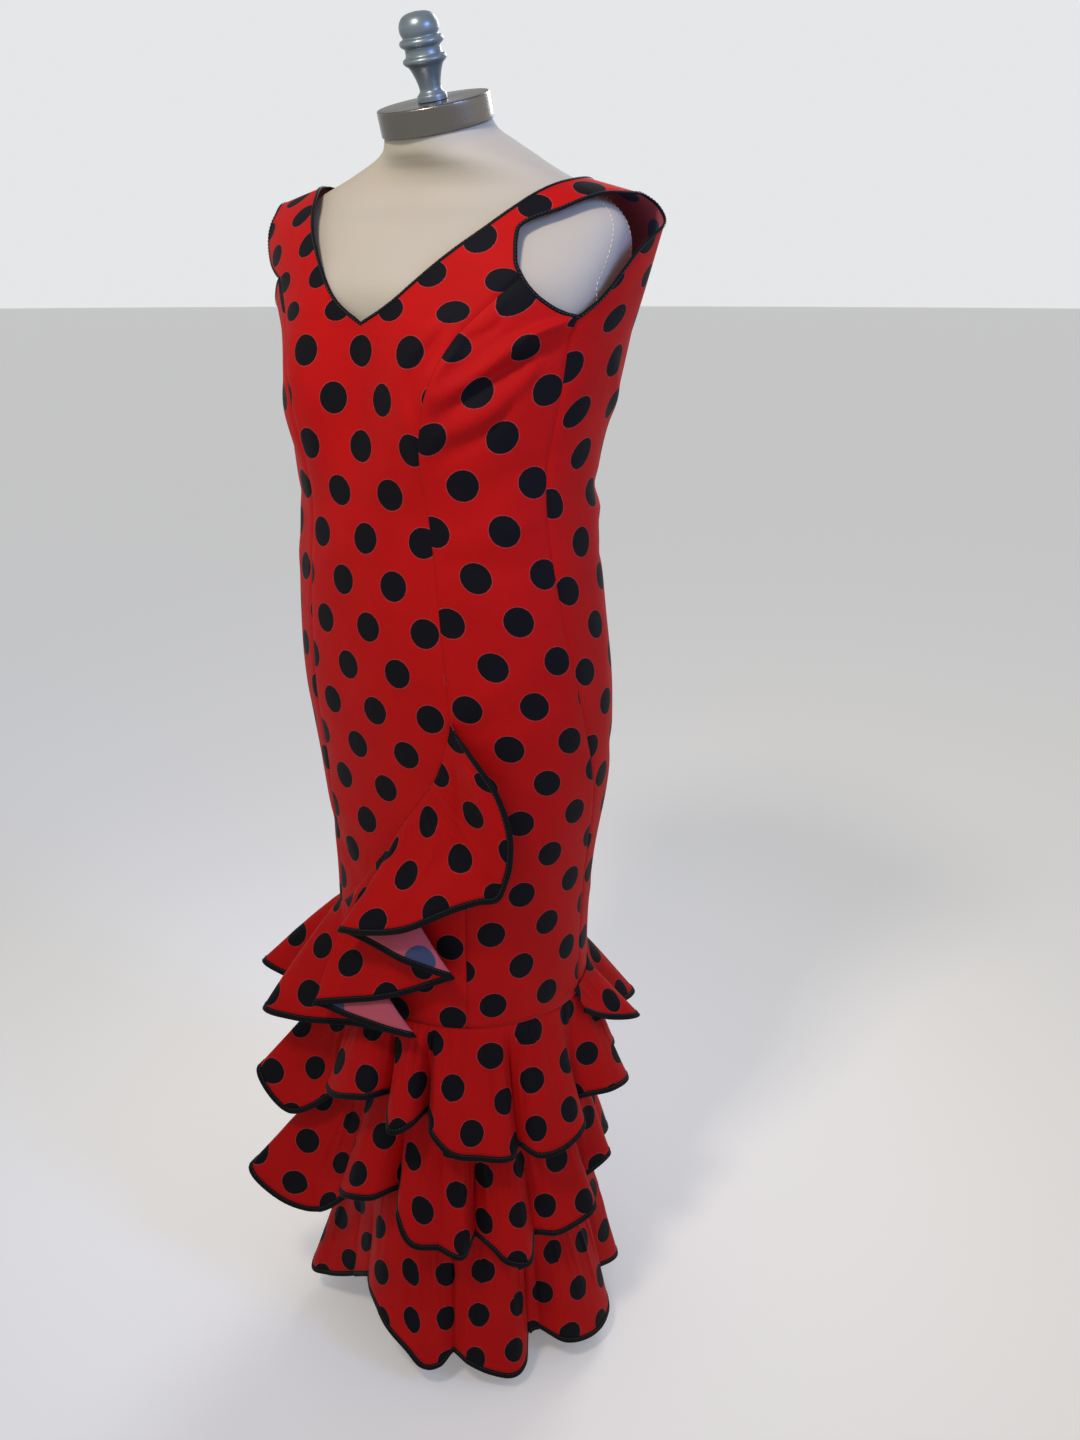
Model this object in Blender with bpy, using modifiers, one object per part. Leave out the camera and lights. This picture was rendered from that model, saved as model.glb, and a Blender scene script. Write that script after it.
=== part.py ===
import math

import bmesh
import bpy
from mathutils import Matrix, Vector

# Flamenco dress on a limbless dress form. Metres, +Z up, the dress faces -Y, the wearer's left is +X.
# The origin is on the floor, in the middle of the base plate.

for item in list(bpy.data.objects):
    bpy.data.objects.remove(item, do_unlink=True)

clothWall = 0.0015
flounceWall = 0.0012
seamGap = 0.0006
layGap = 0.0003
hemGap = 0.0006
facetSag = 0.0009
formClearance = 0.0075
neckBindingWidth = 0.0045
hemBindingWidth = 0.009
bindingWall = 0.0020
hemBindingWall = 0.0014
zipHalfTape = 0.008
zipWall = 0.001

bustLevel = 1.218
shoulderRise = 0.137
shoulderNeckX = 0.150
shoulderHeight = 1.355
shoulderSlope = 0.27
shoulderHalfWidth = 0.235
shoulderTwist = math.radians(10)
shoulderShift = 0.002
sectionPower = 2.15
roundOverPower = 2.2
roundOverRoot = 1.7

bustX = 0.086
bustHeight = 1.165
bustSpreadX = 0.052
bustSpreadZ = 0.075
bustLift = 0.026

underarmTau = 0.12
underarmTurnTau = 0.20
insideAngle = 4.0
insideDrop = 0.010
armPointTau = 0.364
vTau = 0.045
backNeckTau = 0.35

skirtSeamHeight = 0.472
skirtSeamTilt = 0.010
skirtSeamHigh = math.radians(40)
underSkirtBottom = 0.100
underSkirtLap = 0.012
underSkirtColumns = 28

# The body sections from the shin to the bust line.
# Columns: height, halfWidth, front, back, centreY.
sectionRows = (
    (0.060, 0.150, 0.146, 0.146, 0.000),
    (0.200, 0.146, 0.140, 0.142, 0.000),
    (0.350, 0.144, 0.136, 0.138, 0.000),
    (0.478, 0.146, 0.136, 0.138, 0.000),
    (0.570, 0.149, 0.135, 0.137, 0.000),
    (0.648, 0.156, 0.134, 0.136, 0.002),
    (0.748, 0.173, 0.138, 0.143, 0.004),
    (0.848, 0.182, 0.139, 0.144, -0.005),
    (0.948, 0.177, 0.134, 0.137, -0.012),
    (1.048, 0.169, 0.127, 0.129, -0.014),
    (1.098, 0.170, 0.127, 0.130, -0.013),
    (1.168, 0.184, 0.122, 0.152, -0.011),
    (1.218, 0.194, 0.120, 0.163, -0.010),
)

# Half width of the front panel at each level, at the princess seam.
# Columns: level, x.
princessRows = (
    (0.450, 0.094),
    (0.600, 0.095),
    (0.748, 0.094),
    (0.848, 0.096),
    (0.948, 0.090),
    (1.048, 0.080),
    (1.098, 0.078),
    (1.168, 0.092),
    (1.218, 0.112),
    (1.268, 0.1476),
)

# Angle of the side seam round the body, in degrees from the centre front.
# Columns: level, angle.
sideRows = (
    (0.450, 105.0),
    (0.648, 102.0),
    (0.748, 95.0),
    (0.848, 86.0),
    (0.948, 79.0),
    (1.048, 74.0),
    (1.168, 73.5),
    (1.235, 72.0),
)

# The V neck and the back neck: half width of the opening at each share of the rise to the shoulder.
# Columns: tau, x.
frontNeckRows = (
    (0.045, 0.0),
    (0.110, 0.0215),
    (0.180, 0.0385),
    (0.290, 0.0570),
    (0.400, 0.0730),
    (0.500, 0.0870),
    (0.600, 0.1005),
    (0.750, 0.1170),
    (0.850, 0.1270),
    (0.930, 0.1370),
    (1.0, 0.150),
)
backNeckRows = ((0.35, 0.0), (0.50, 0.052), (0.70, 0.099), (0.88, 0.134), (1.0, 0.150))

# The armhole edge, by angle round the body.
# Columns: tau, angle.
leftFrontArmRows = (
    (0.364, 43.5),
    (0.430, 39.8),
    (0.517, 37.0),
    (0.590, 35.0),
    (0.658, 33.9),
    (0.726, 36.2),
    (0.800, 41.0),
    (0.900, 45.4),
    (0.960, 49.6),
    (1.0, 58.0),
)
rightFrontArmRows = (
    (0.364, 43.5),
    (0.430, 51.0),
    (0.500, 56.5),
    (0.600, 59.5),
    (0.730, 59.5),
    (0.820, 57.5),
    (0.900, 55.5),
    (1.0, 57.0),
)
leftBackArmRows = (
    (0.12, 72.0),
    (0.206, 76.8),
    (0.320, 80.3),
    (0.482, 82.4),
    (0.656, 85.5),
    (0.758, 92.0),
    (0.830, 101.5),
    (0.900, 110.0),
    (0.950, 115.0),
    (1.0, 122.0),
)
rightBackArmRows = (
    (0.12, 72.0),
    (0.206, 78.5),
    (0.320, 85.5),
    (0.487, 92.5),
    (0.650, 98.5),
    (0.820, 107.0),
    (0.930, 115.0),
    (1.0, 123.0),
)
frontArmRows = {1: leftFrontArmRows, -1: rightFrontArmRows}
backArmRows = {1: leftBackArmRows, -1: rightBackArmRows}
# Columns: angle, tau.
armDipRows = ((43.5, 0.364), (47.5, 0.302), (53.4, 0.233), (62.5, 0.160), (72.0, 0.12))

# The four flounces. Each row is one crest or valley of the hem: the place on the seam where the fold
# starts, the place where its hem hangs, how far the hem stands off the body, and the hem's height.
# Columns: seamAngle, seamHeight, hemAngle, standOff, height.
cascadeRows = (
    (30.8, 0.849, 32.2, 0.007, 0.836),
    (29.2, 0.829, 39.0, 0.019, 0.811),
    (27.2, 0.809, 45.8, 0.028, 0.778),
    (25.0, 0.793, 50.0, 0.033, 0.736),
    (23.2, 0.781, 50.9, 0.035, 0.700),
    (21.6, 0.773, 50.0, 0.036, 0.680),
    (20.6, 0.768, 47.4, 0.038, 0.660),
    (19.0, 0.762, 42.0, 0.039, 0.657),
    (16.8, 0.752, 32.0, 0.042, 0.646),
    (13.5, 0.738, 18.0, 0.049, 0.622),
    (11.0, 0.727, 5.0, 0.056, 0.610),
    (9.0, 0.718, -3.0, 0.058, 0.604),
    (6.6, 0.707, -4.0, 0.048, 0.598),
    (4.6, 0.697, 3.0, 0.040, 0.590),
    (3.2, 0.690, 16.0, 0.036, 0.578),
    (1.8, 0.684, 28.0, 0.032, 0.569),
    (0.0, 0.676, 34.0, 0.025, 0.560),
    (-2.6, 0.666, 29.0, 0.018, 0.550),
    (-6.5, 0.652, 15.0, 0.021, 0.530),
    (-10.5, 0.638, -3.0, 0.045, 0.511),
    (-14.0, 0.627, -13.0, 0.067, 0.501),
    (-17.0, 0.618, -11.0, 0.058, 0.496),
    (-19.5, 0.611, 0.0, 0.045, 0.491),
    (-22.0, 0.605, 12.0, 0.036, 0.487),
    (-25.0, 0.599, 19.0, 0.027, 0.481),
    (-28.5, 0.593, 11.0, 0.019, 0.474),
    (-33.0, 0.587, -8.0, 0.030, 0.466),
    (-38.0, 0.581, -26.0, 0.074, 0.458),
    (-43.5, 0.576, -37.0, 0.098, 0.454),
    (-49.0, 0.572, -44.0, 0.070, 0.456),
    (-55.0, 0.568, -50.0, 0.068, 0.461),
    (-63.0, 0.564, -58.0, 0.106, 0.472),
    (-73.0, 0.558, -72.0, 0.046, 0.447),
    (-86.0, 0.551, -86.0, 0.098, 0.436),
    (-102.0, 0.544, -102.0, 0.036, 0.430),
    (-119.0, 0.537, -119.0, 0.096, 0.418),
    (-136.0, 0.530, -136.0, 0.036, 0.418),
    (-152.0, 0.523, -152.0, 0.094, 0.408),
    (-170.0, 0.516, -170.0, 0.036, 0.408),
    (-183.0, 0.511, -183.0, 0.092, 0.400),
    (-197.0, 0.506, -197.0, 0.036, 0.404),
    (-213.0, 0.501, -213.0, 0.078, 0.402),
    (-229.0, 0.496, -229.0, 0.036, 0.412),
    (-241.0, 0.492, -240.0, 0.066, 0.424),
    (-253.0, 0.488, -252.0, 0.036, 0.440),
    (-261.0, 0.485, -260.0, 0.016, 0.458),
)

# Columns: seamAngle, hemAngle, standOff, height.
kneeRows = (
    (-170, -170, 0.020, 0.335),
    (-152, -152, 0.080, 0.325),
    (-136, -136, 0.022, 0.335),
    (-119, -119, 0.085, 0.328),
    (-102, -102, 0.022, 0.335),
    (-85, -83, 0.085, 0.330),
    (-69, -68, 0.025, 0.338),
    (-54, -50, 0.090, 0.355),
    (-45, -43, 0.112, 0.350),
    (-37, -36, 0.082, 0.308),
    (-29, -27, 0.040, 0.340),
    (-22, -20, 0.048, 0.370),
    (-13, -9, 0.062, 0.384),
    (-4, 1, 0.056, 0.396),
    (2, 6, 0.028, 0.392),
    (7, 9, 0.046, 0.380),
    (12, 13, 0.062, 0.372),
    (17, 18, 0.046, 0.376),
    (21, 21, 0.014, 0.375),
    (26, 25, 0.040, 0.366),
    (33, 33, 0.050, 0.348),
    (43, 44, 0.046, 0.339),
    (52, 55, 0.042, 0.332),
    (58, 60, 0.028, 0.335),
    (65, 66, 0.046, 0.327),
    (75, 76, 0.050, 0.326),
    (85, 87, 0.044, 0.333),
    (93, 94, 0.020, 0.345),
    (104, 106, 0.046, 0.345),
    (114, 118, 0.056, 0.340),
    (130, 130, 0.020, 0.335),
    (147, 147, 0.052, 0.330),
    (163, 163, 0.022, 0.335),
    (177, 177, 0.078, 0.328),
)
calfRows = (
    (-163, -163, 0.022, 0.205),
    (-146, -146, 0.080, 0.198),
    (-129, -129, 0.022, 0.205),
    (-112, -112, 0.085, 0.200),
    (-95, -95, 0.024, 0.208),
    (-79, -77, 0.092, 0.205),
    (-64, -62, 0.030, 0.212),
    (-52, -48, 0.100, 0.222),
    (-43, -41, 0.130, 0.218),
    (-36, -35, 0.098, 0.186),
    (-28, -29, 0.058, 0.174),
    (-21, -22, 0.032, 0.200),
    (-14, -15, 0.046, 0.232),
    (-7, -6, 0.060, 0.250),
    (0, 2, 0.052, 0.258),
    (6, 7, 0.024, 0.258),
    (11, 12, 0.044, 0.244),
    (17, 18, 0.052, 0.219),
    (26, 27, 0.045, 0.213),
    (35, 36, 0.048, 0.206),
    (41, 41, 0.020, 0.212),
    (47, 48, 0.036, 0.207),
    (53, 53, 0.048, 0.195),
    (59, 61, 0.048, 0.187),
    (65, 67, 0.028, 0.203),
    (75, 76, 0.040, 0.202),
    (87, 91, 0.048, 0.209),
    (98, 99, 0.020, 0.222),
    (110, 113, 0.036, 0.232),
    (128, 128, 0.016, 0.215),
    (145, 145, 0.040, 0.204),
    (162, 162, 0.022, 0.205),
    (180, 180, 0.078, 0.198),
)
bottomRows = (
    (-166, -166, 0.055, 0.030),
    (-149, -149, 0.018, 0.040),
    (-132, -132, 0.058, 0.028),
    (-115, -115, 0.018, 0.040),
    (-98, -98, 0.062, 0.030),
    (-79, -79, 0.020, 0.045),
    (-62, -60, 0.042, 0.050),
    (-48, -45, 0.058, 0.042),
    (-39, -38, 0.040, 0.046),
    (-28, -28, 0.014, 0.062),
    (-14, -16, 0.010, 0.084),
    (-4, -3, 0.030, 0.092),
    (4, 5, 0.040, 0.074),
    (12, 14, 0.040, 0.053),
    (18, 20, 0.040, 0.033),
    (24, 26, 0.036, 0.036),
    (30, 31, 0.022, 0.045),
    (37, 38, 0.030, 0.038),
    (45, 46, 0.036, 0.027),
    (53, 55, 0.040, 0.020),
    (60, 61, 0.030, 0.024),
    (66, 66, 0.010, 0.043),
    (72, 72, 0.014, 0.046),
    (79, 79, 0.040, 0.034),
    (87, 89, 0.050, 0.025),
    (96, 98, 0.050, 0.026),
    (105, 105, 0.040, 0.030),
    (115, 114, 0.016, 0.042),
    (130, 130, 0.042, 0.032),
    (146, 146, 0.018, 0.040),
    (162, 162, 0.050, 0.030),
    (178, 178, 0.018, 0.040),
)
calfSeamHeight = 0.352
bottomSeamHeight = 0.212
seamLift = 0.030
seamLiftSpread = 18.0
flounceSeamDrop = 0.0010
shortStop = 0.6
narrowShare = 0.35

# The dress form: a stack of sections from its underside to the top of the neck.
# Columns: height, halfWidth, front, back, centreY, tilt, turn.
formUpperRows = (
    (1.262, 0.194, 0.1144, 0.132, -0.007, 0.0, 3.0),
    (1.296, 0.196, 0.092, 0.107, -0.003, 0.0, 6.0),
    (1.318, 0.190, 0.074, 0.080, -0.001, 0.0, 7.5),
    (1.336, 0.171, 0.054, 0.059, 0.000, 2.0, 9.0),
    (1.350, 0.146, 0.046, 0.055, 0.000, 4.0, 9.0),
    (1.362, 0.120, 0.044, 0.058, -0.001, 7.0, 7.0),
    (1.374, 0.096, 0.045, 0.061, -0.003, 11.0, 4.0),
    (1.384, 0.075, 0.048, 0.060, -0.006, 14.0, 1.0),
    (1.393, 0.059, 0.050, 0.055, -0.010, 16.0, 0.0),
    (1.404, 0.052, 0.051, 0.051, -0.0125, 16.0, 0.0),
)
formBottom = 0.735
formBottomRound = 0.012
formColumnsRound = 28
neckTilt = math.radians(16)
neckTop = Vector((0.0, -0.0125, 1.404))
capRadius = 0.0550
capHeight = 0.024
finialHeight = 0.075
poleRadius = 0.0125
baseRadius = 0.120
baseThickness = 0.009
hubRadius = 0.024
hubHeight = 0.040


def smoothRead(rows, column, at):
    # Reads a column by its first column, with a smooth curve through the rows.
    if at <= rows[0][0]:
        return rows[0][column]
    if at >= rows[-1][0]:
        return rows[-1][column]
    index = 0
    while rows[index + 1][0] < at:
        index += 1
    low, high = rows[index], rows[index + 1]
    before = rows[max(index - 1, 0)]
    after = rows[min(index + 2, len(rows) - 1)]
    span = high[0] - low[0]
    share = (at - low[0]) / span
    slopeLow = (high[column] - before[column]) / (high[0] - before[0]) * span
    slopeHigh = (after[column] - low[column]) / (after[0] - low[0]) * span
    squared = share * share
    cubed = squared * share
    return (
        (2 * cubed - 3 * squared + 1) * low[column]
        + (cubed - 2 * squared + share) * slopeLow
        + (3 * squared - 2 * cubed) * high[column]
        + (cubed - squared) * slopeHigh
    )


def signedPower(value, power):
    return math.copysign(abs(value) ** power, value)


def tauOf(level):
    return (level - bustLevel) / shoulderRise


def levelOf(tau):
    return bustLevel + tau * shoulderRise


def sectionAt(level):
    tau = tauOf(level)
    if tau <= 0:
        return tuple(smoothRead(sectionRows, column, level) for column in range(1, 5)) + (tau,)
    halfWidth, front, back, centreY = sectionRows[-1][1:]
    shrink = max(1 - min(tau, 1.0) ** roundOverPower, 0.0) ** (1 / roundOverRoot)
    halfWidth = halfWidth + (shoulderHalfWidth - halfWidth) * tau
    return halfWidth, front * shrink, back * shrink, centreY * (1 - tau), tau


def bustBulge(x, height, faces):
    across = (abs(x) - bustX) / bustSpreadX
    along = (height - bustHeight) / bustSpreadZ
    return bustLift * math.exp(-across * across - along * along) * max(faces, 0.0) ** 0.5


def torsoPoint(angle, level, standOff=0.0):
    # A point of the body surface: angle in degrees round the body from the centre front, level by height.
    halfWidth, front, back, centreY, tau = sectionAt(level)
    turned = math.radians(angle)
    faces = math.cos(turned)
    depth = front if faces > 0 else back
    x = (halfWidth + standOff) * signedPower(math.sin(turned), 2 / sectionPower)
    y = centreY - (depth + standOff) * signedPower(faces, 2 / sectionPower)
    height = level
    if tau > 0:
        top = shoulderHeight - shoulderSlope * (abs(x) - shoulderNeckX)
        height = bustLevel + tau * (top - bustLevel)
    y -= bustBulge(x, height, faces)
    if tau > 0:
        twist = shoulderTwist * tau
        x, y = x * math.cos(twist) - y * math.sin(twist), x * math.sin(twist) + y * math.cos(twist)
        x += shoulderShift * tau
    return Vector((x, y, height))


def angleOfX(x, level):
    share = min(abs(x) / sectionAt(level)[0], 1.0)
    return math.degrees(math.asin(share ** (sectionPower / 2)))


def skirtSeamLevel(angle):
    return skirtSeamHeight + skirtSeamTilt * math.cos(math.radians(angle) - skirtSeamHigh)


def shrinkAngle(level, angle):
    # Half a seam gap, as degrees round the body at this angle.
    arc = (torsoPoint(angle + 0.5, level) - torsoPoint(angle - 0.5, level)).length
    return seamGap / 2 / arc


def gridObject(name, points, material, thickness, offset, closedRound=False):
    # An open grid of points given a wall by Solidify. Rows run up or out, columns run round.
    mesh = bpy.data.meshes.new(name)
    shell = bmesh.new()
    grid = [[shell.verts.new(point) for point in row] for row in points]
    columns = len(points[0])
    last = columns if closedRound else columns - 1
    for low, high in zip(grid, grid[1:]):
        for column in range(last):
            beside = (column + 1) % columns
            shell.faces.new((low[column], low[beside], high[beside], high[column]))
    bmesh.ops.recalc_face_normals(shell, faces=shell.faces)
    shell.to_mesh(mesh)
    shell.free()
    piece = bpy.data.objects.new(name, mesh)
    addWall(piece, thickness, offset)
    finishPiece(piece, material)
    return piece


def addWall(piece, thickness, offset):
    wall = piece.modifiers.new("wall", "SOLIDIFY")
    wall.thickness = thickness
    wall.offset = offset
    wall.use_even_offset = True


def finishPiece(piece, material):
    piece.data.materials.append(material)
    piece.data.shade_smooth()
    piece.data.set_sharp_from_angle(angle=math.radians(50))
    partCollection.objects.link(piece)


def newMaterial(name, colour, roughness, metallic=0.0):
    material = bpy.data.materials.new(name)
    material.use_nodes = True
    shader = material.node_tree.nodes["Principled BSDF"]
    shader.inputs["Base Color"].default_value = (*colour, 1.0)
    shader.inputs["Roughness"].default_value = roughness
    shader.inputs["Metallic"].default_value = metallic
    material.diffuse_color = (*colour, 1.0)
    return material


bodyLevels = [0.56, 0.64, 0.715, 0.785, 0.855, 0.925, 0.995, 1.06, 1.115, 1.17, bustLevel]
lowTaus = [vTau, 0.12, 0.206, 0.29, armPointTau]
highTaus = [0.45, 0.53, 0.62, 0.71, 0.79, 0.86, 0.92, 0.965, 0.991, 1.0]
sideTaus = [tau / armPointTau * underarmTau for tau in lowTaus]
backTaus = [0.15, 0.19, 0.24, 0.295, backNeckTau, 0.43, 0.53, 0.63, 0.73, 0.82, 0.90, 0.96, 0.991, 1.0]
backLevels = [None] + bodyLevels + [levelOf(tau) for tau in sideTaus + backTaus]
frontColumns = 4
sideColumnsCount = 5
backColumns = 7


def seamShift(point, tau, away):
    # The two halves of a strap stop just short of each other at the shoulder seam.
    if tau >= 1.0:
        point.y += away * seamGap / 2
    return point


def frontHalfRows(side):
    rows = []
    levels = [None] + bodyLevels + [levelOf(tau) for tau in lowTaus + highTaus]
    for level in levels:
        princessLevel = skirtSeamLevel(side * 36) if level is None else level
        tau = tauOf(princessLevel)
        if tau <= armPointTau:
            outer = angleOfX(smoothRead(princessRows, 1, princessLevel), princessLevel)
        else:
            outer = smoothRead(frontArmRows[side], 1, tau)
        outer -= shrinkAngle(princessLevel, side * outer)
        inner = 0.0
        if tau > vTau:
            inner = angleOfX(smoothRead(frontNeckRows, 1, tau), princessLevel)
        row = []
        for column in range(frontColumns + 1):
            angle = side * (inner + (outer - inner) * column / frontColumns)
            here = skirtSeamLevel(angle) + seamGap / 2 if level is None else level
            row.append(seamShift(torsoPoint(angle, here), tau, -1))
        rows.append(row)
    return rows


def sideFrontRows(side):
    rows = []
    shares = [tau / armPointTau for tau in lowTaus]
    for level in [None] + bodyLevels:
        seamLevel = skirtSeamLevel(side * 60) if level is None else level
        inner = angleOfX(smoothRead(princessRows, 1, seamLevel), seamLevel)
        inner += shrinkAngle(seamLevel, side * inner)
        outer = smoothRead(sideRows, 1, seamLevel)
        outer -= shrinkAngle(seamLevel, side * outer)
        row = []
        for column in range(sideColumnsCount + 1):
            angle = side * (inner + (outer - inner) * column / sideColumnsCount)
            here = skirtSeamLevel(angle) + seamGap / 2 if level is None else level
            row.append(torsoPoint(angle, here))
        rows.append(row)
    for share in shares:
        row = []
        princessLevel = levelOf(share * armPointTau)
        inner = angleOfX(smoothRead(princessRows, 1, princessLevel), princessLevel)
        inner += shrinkAngle(princessLevel, side * inner)
        sideLevel = levelOf(share * underarmTau)
        outer = smoothRead(sideRows, 1, sideLevel)
        outer -= shrinkAngle(sideLevel, side * outer)
        for column in range(sideColumnsCount + 1):
            angle = inner + (outer - inner) * column / sideColumnsCount
            topAngle = armDipRows[0][0] + (armDipRows[-1][0] - armDipRows[0][0]) * column / sideColumnsCount
            tau = share * smoothRead(armDipRows, 1, topAngle)
            row.append(torsoPoint(side * angle, levelOf(tau)))
        rows.append(row)
    return rows


def backRows(side):
    rows = []
    for level in backLevels:
        seamLevel = skirtSeamLevel(side * 130) if level is None else level
        tau = tauOf(seamLevel)
        if tau <= underarmTau:
            outer = smoothRead(sideRows, 1, seamLevel)
        else:
            outer = smoothRead(backArmRows[side], 1, tau)
        outer += shrinkAngle(seamLevel, side * outer)
        inner = 180.0
        if tau > backNeckTau:
            inner -= angleOfX(smoothRead(backNeckRows, 1, tau), seamLevel)
        inner -= shrinkAngle(seamLevel, side * inner)
        row = []
        for column in range(backColumns + 1):
            angle = side * (outer + (inner - outer) * column / backColumns)
            here = skirtSeamLevel(angle) + seamGap / 2 if level is None else level
            row.append(seamShift(torsoPoint(angle, here), tau, 1))
        rows.append(row)
    return rows


def bindingRows(edges, gap, width, closedRound):
    # Two rows of points past a cloth's edge, square to the edge. Each entry is an edge point, one inside it
    # and the share of the width that the binding has there.
    near = []
    far = []
    count = len(edges)
    for index, (edge, inside, share) in enumerate(edges):
        after = edges[(index + 1) % count if closedRound else min(index + 1, count - 1)][0]
        before = edges[index - 1 if closedRound else max(index - 1, 0)][0]
        along = (after - before).normalized()
        away = edge - inside
        if closedRound or 0 < index < count - 1:
            away -= along * away.dot(along)
        away.normalize()
        near.append(edge + away * gap)
        far.append(edge + away * (gap + width * share))
    return [near, far]


def buildBodice():
    halves = {side: frontHalfRows(side) for side in (1, -1)}
    frontMesh = bpy.data.meshes.new("front_panel")
    shell = bmesh.new()
    for half in halves.values():
        grid = [[shell.verts.new(point) for point in row] for row in half]
        for low, high in zip(grid, grid[1:]):
            for column in range(frontColumns):
                shell.faces.new((low[column], low[column + 1], high[column + 1], high[column]))
    bmesh.ops.remove_doubles(shell, verts=shell.verts, dist=0.00001)
    bmesh.ops.recalc_face_normals(shell, faces=shell.faces)
    shell.to_mesh(frontMesh)
    shell.free()
    frontPanel = bpy.data.objects.new("front_panel", frontMesh)
    addWall(frontPanel, clothWall, 0.0)
    finishPiece(frontPanel, redCloth)

    sides = {}
    backs = {}
    for side, name in ((1, "left"), (-1, "right")):
        sides[side] = sideFrontRows(side)
        gridObject(name + "_side_front", sides[side], redCloth, clothWall, 0.0)
        backs[side] = backRows(side)
        gridObject(name + "_back", backs[side], redCloth, clothWall, 0.0)

    buildNecklineBinding(halves, backs)
    for side, name in ((1, "left"), (-1, "right")):
        buildArmholeBinding(name, side, halves[side], sides[side], backs[side])


def buildNecklineBinding(halves, backs):
    vRow = 1 + len(bodyLevels)
    backNeckRow = 1 + len(bodyLevels) + len(lowTaus) + 5
    edges = []
    for side in (-1, 1):
        climbing = []
        for row in halves[side][vRow + 1:]:
            climbing.append((row[0], row[1], 1.0))
        falling = []
        for level, row in zip(reversed(backLevels[backNeckRow:-1]), reversed(backs[side][backNeckRow:-1])):
            edgeAngle = 180.0 - angleOfX(smoothRead(backNeckRows, 1, tauOf(level)), level)
            inside = torsoPoint(side * (edgeAngle - insideAngle), level - insideDrop)
            falling.append((row[-1], inside, 1.0))
        foot = backNeckRow - 1
        falling.append((backs[side][foot][-1], backs[side][foot - 1][-1], 1.0))
        run = climbing + falling
        if side < 0:
            run.reverse()
            edges += run
            bottom = halves[1][vRow][0]
            edges.append((bottom, halves[1][vRow - 1][0], 1.0))
        else:
            edges += run
    strip = bindingRows(edges, layGap, neckBindingWidth, False)
    gridObject("neckline_binding", strip, blackBias, bindingWall, 0.0)


def buildArmholeBinding(name, side, half, sideFront, back):
    armRow = len(bodyLevels) + len(lowTaus)
    edges = [(row[-1], row[-2], 1.0) for row in half[armRow + 1:]]
    for level, row in zip(reversed(backLevels[armRow + 1:-1]), reversed(back[armRow + 1:-1])):
        inside = row[1]
        if tauOf(level) < underarmTurnTau:
            angle = side * smoothRead(backArmRows[side], 1, tauOf(level))
            inside = torsoPoint(angle, level - insideDrop)
        edges.append((row[0], inside, 1.0))
    top, below = sideFront[-1], sideFront[-2]
    for column in range(sideColumnsCount, -1, -1):
        edges.append((top[column], below[column], 1.0))
    strip = bindingRows(edges, layGap, neckBindingWidth, True)
    gridObject(name + "_armhole_binding", strip, blackBias, bindingWall, 0.0, True)


def readFold(rows, column, place, roundBody):
    # A smooth curve through the fold rows, by row number. On a closed flounce the rows repeat each turn.
    count = len(rows)
    index = math.floor(place)
    share = place - index

    def value(number):
        if roundBody:
            turn, inside = divmod(number, count)
            extra = 360.0 * turn if column in (0, 1) else 0.0
            return rows[inside][column] + extra
        return rows[min(max(number, 0), count - 1)][column]

    before, low, high, after = (value(index + step) for step in (-1, 0, 1, 2))
    slopeLow = (high - before) / 2
    slopeHigh = (after - low) / 2
    squared = share * share
    cubed = squared * share
    return (
        (2 * cubed - 3 * squared + 1) * low
        + (cubed - 2 * squared + share) * slopeLow
        + (3 * squared - 2 * cubed) * high
        + (cubed - squared) * slopeHigh
    )


def liftedSeam(base, angle):
    wrapped = (angle + 180.0) % 360.0 - 180.0
    return base + seamLift * math.exp(-(wrapped / seamLiftSpread) ** 2)


def foldEnds(tier, place):
    # The seam end and the hem end of one line down a flounce, each as angle, stand-off and height.
    rows = tier["rows"]
    if tier["closed"]:
        seamAngle, hemAngle, standOff, height = (readFold(rows, column, place, True) for column in range(4))
        seamHeight = tier["seam"](seamAngle)
    else:
        seamAngle, seamHeight, hemAngle, standOff, height = (
            readFold(rows, column, place, False) for column in range(5)
        )
    return (seamAngle, tier["seamOut"], seamHeight), (hemAngle, standOff, height)


def flouncePoint(tier, place, share):
    seam, hem = foldEnds(tier, place)
    angle = seam[0] + (hem[0] - seam[0]) * share
    height = seam[2] + (hem[2] - seam[2]) * share
    standOff = seam[1] + (hem[1] - seam[1]) * share
    return torsoPoint(angle, height, standOff)


def buildFlounce(tier):
    rowsCount = len(tier["rows"])
    spans = rowsCount if tier["closed"] else rowsCount - 1
    steps = spans * tier["perRow"]
    places = [step / tier["perRow"] for step in range(steps if tier["closed"] else steps + 1)]
    lines = []
    edges = []
    for place in places:
        top = flouncePoint(tier, place, 0.0)
        hem = flouncePoint(tier, place, 1.0)
        length = (hem - top).length
        stop = shortStop
        if length > 3 * hemBindingWidth:
            stop = 1.0 - (hemBindingWidth + hemGap) / length
        shares = [stop * (step / tier["down"]) ** tier["spread"] for step in range(tier["down"] + 1)]
        line = [flouncePoint(tier, place, share) for share in shares]
        lines.append(line)
        if length > 2 * hemBindingWidth:
            edges.append((line[-1], line[-2], min(1.0, length * narrowShare / hemBindingWidth)))
    points = [[line[row] for line in lines] for row in range(tier["down"] + 1)]
    gridObject(tier["name"], points, redCloth, flounceWall, 0.0, tier["closed"])
    strip = bindingRows(edges, hemGap, hemBindingWidth, tier["closed"])
    gridObject(tier["name"] + "_binding", strip, blackBias, hemBindingWall, 0.0, tier["closed"])


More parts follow.
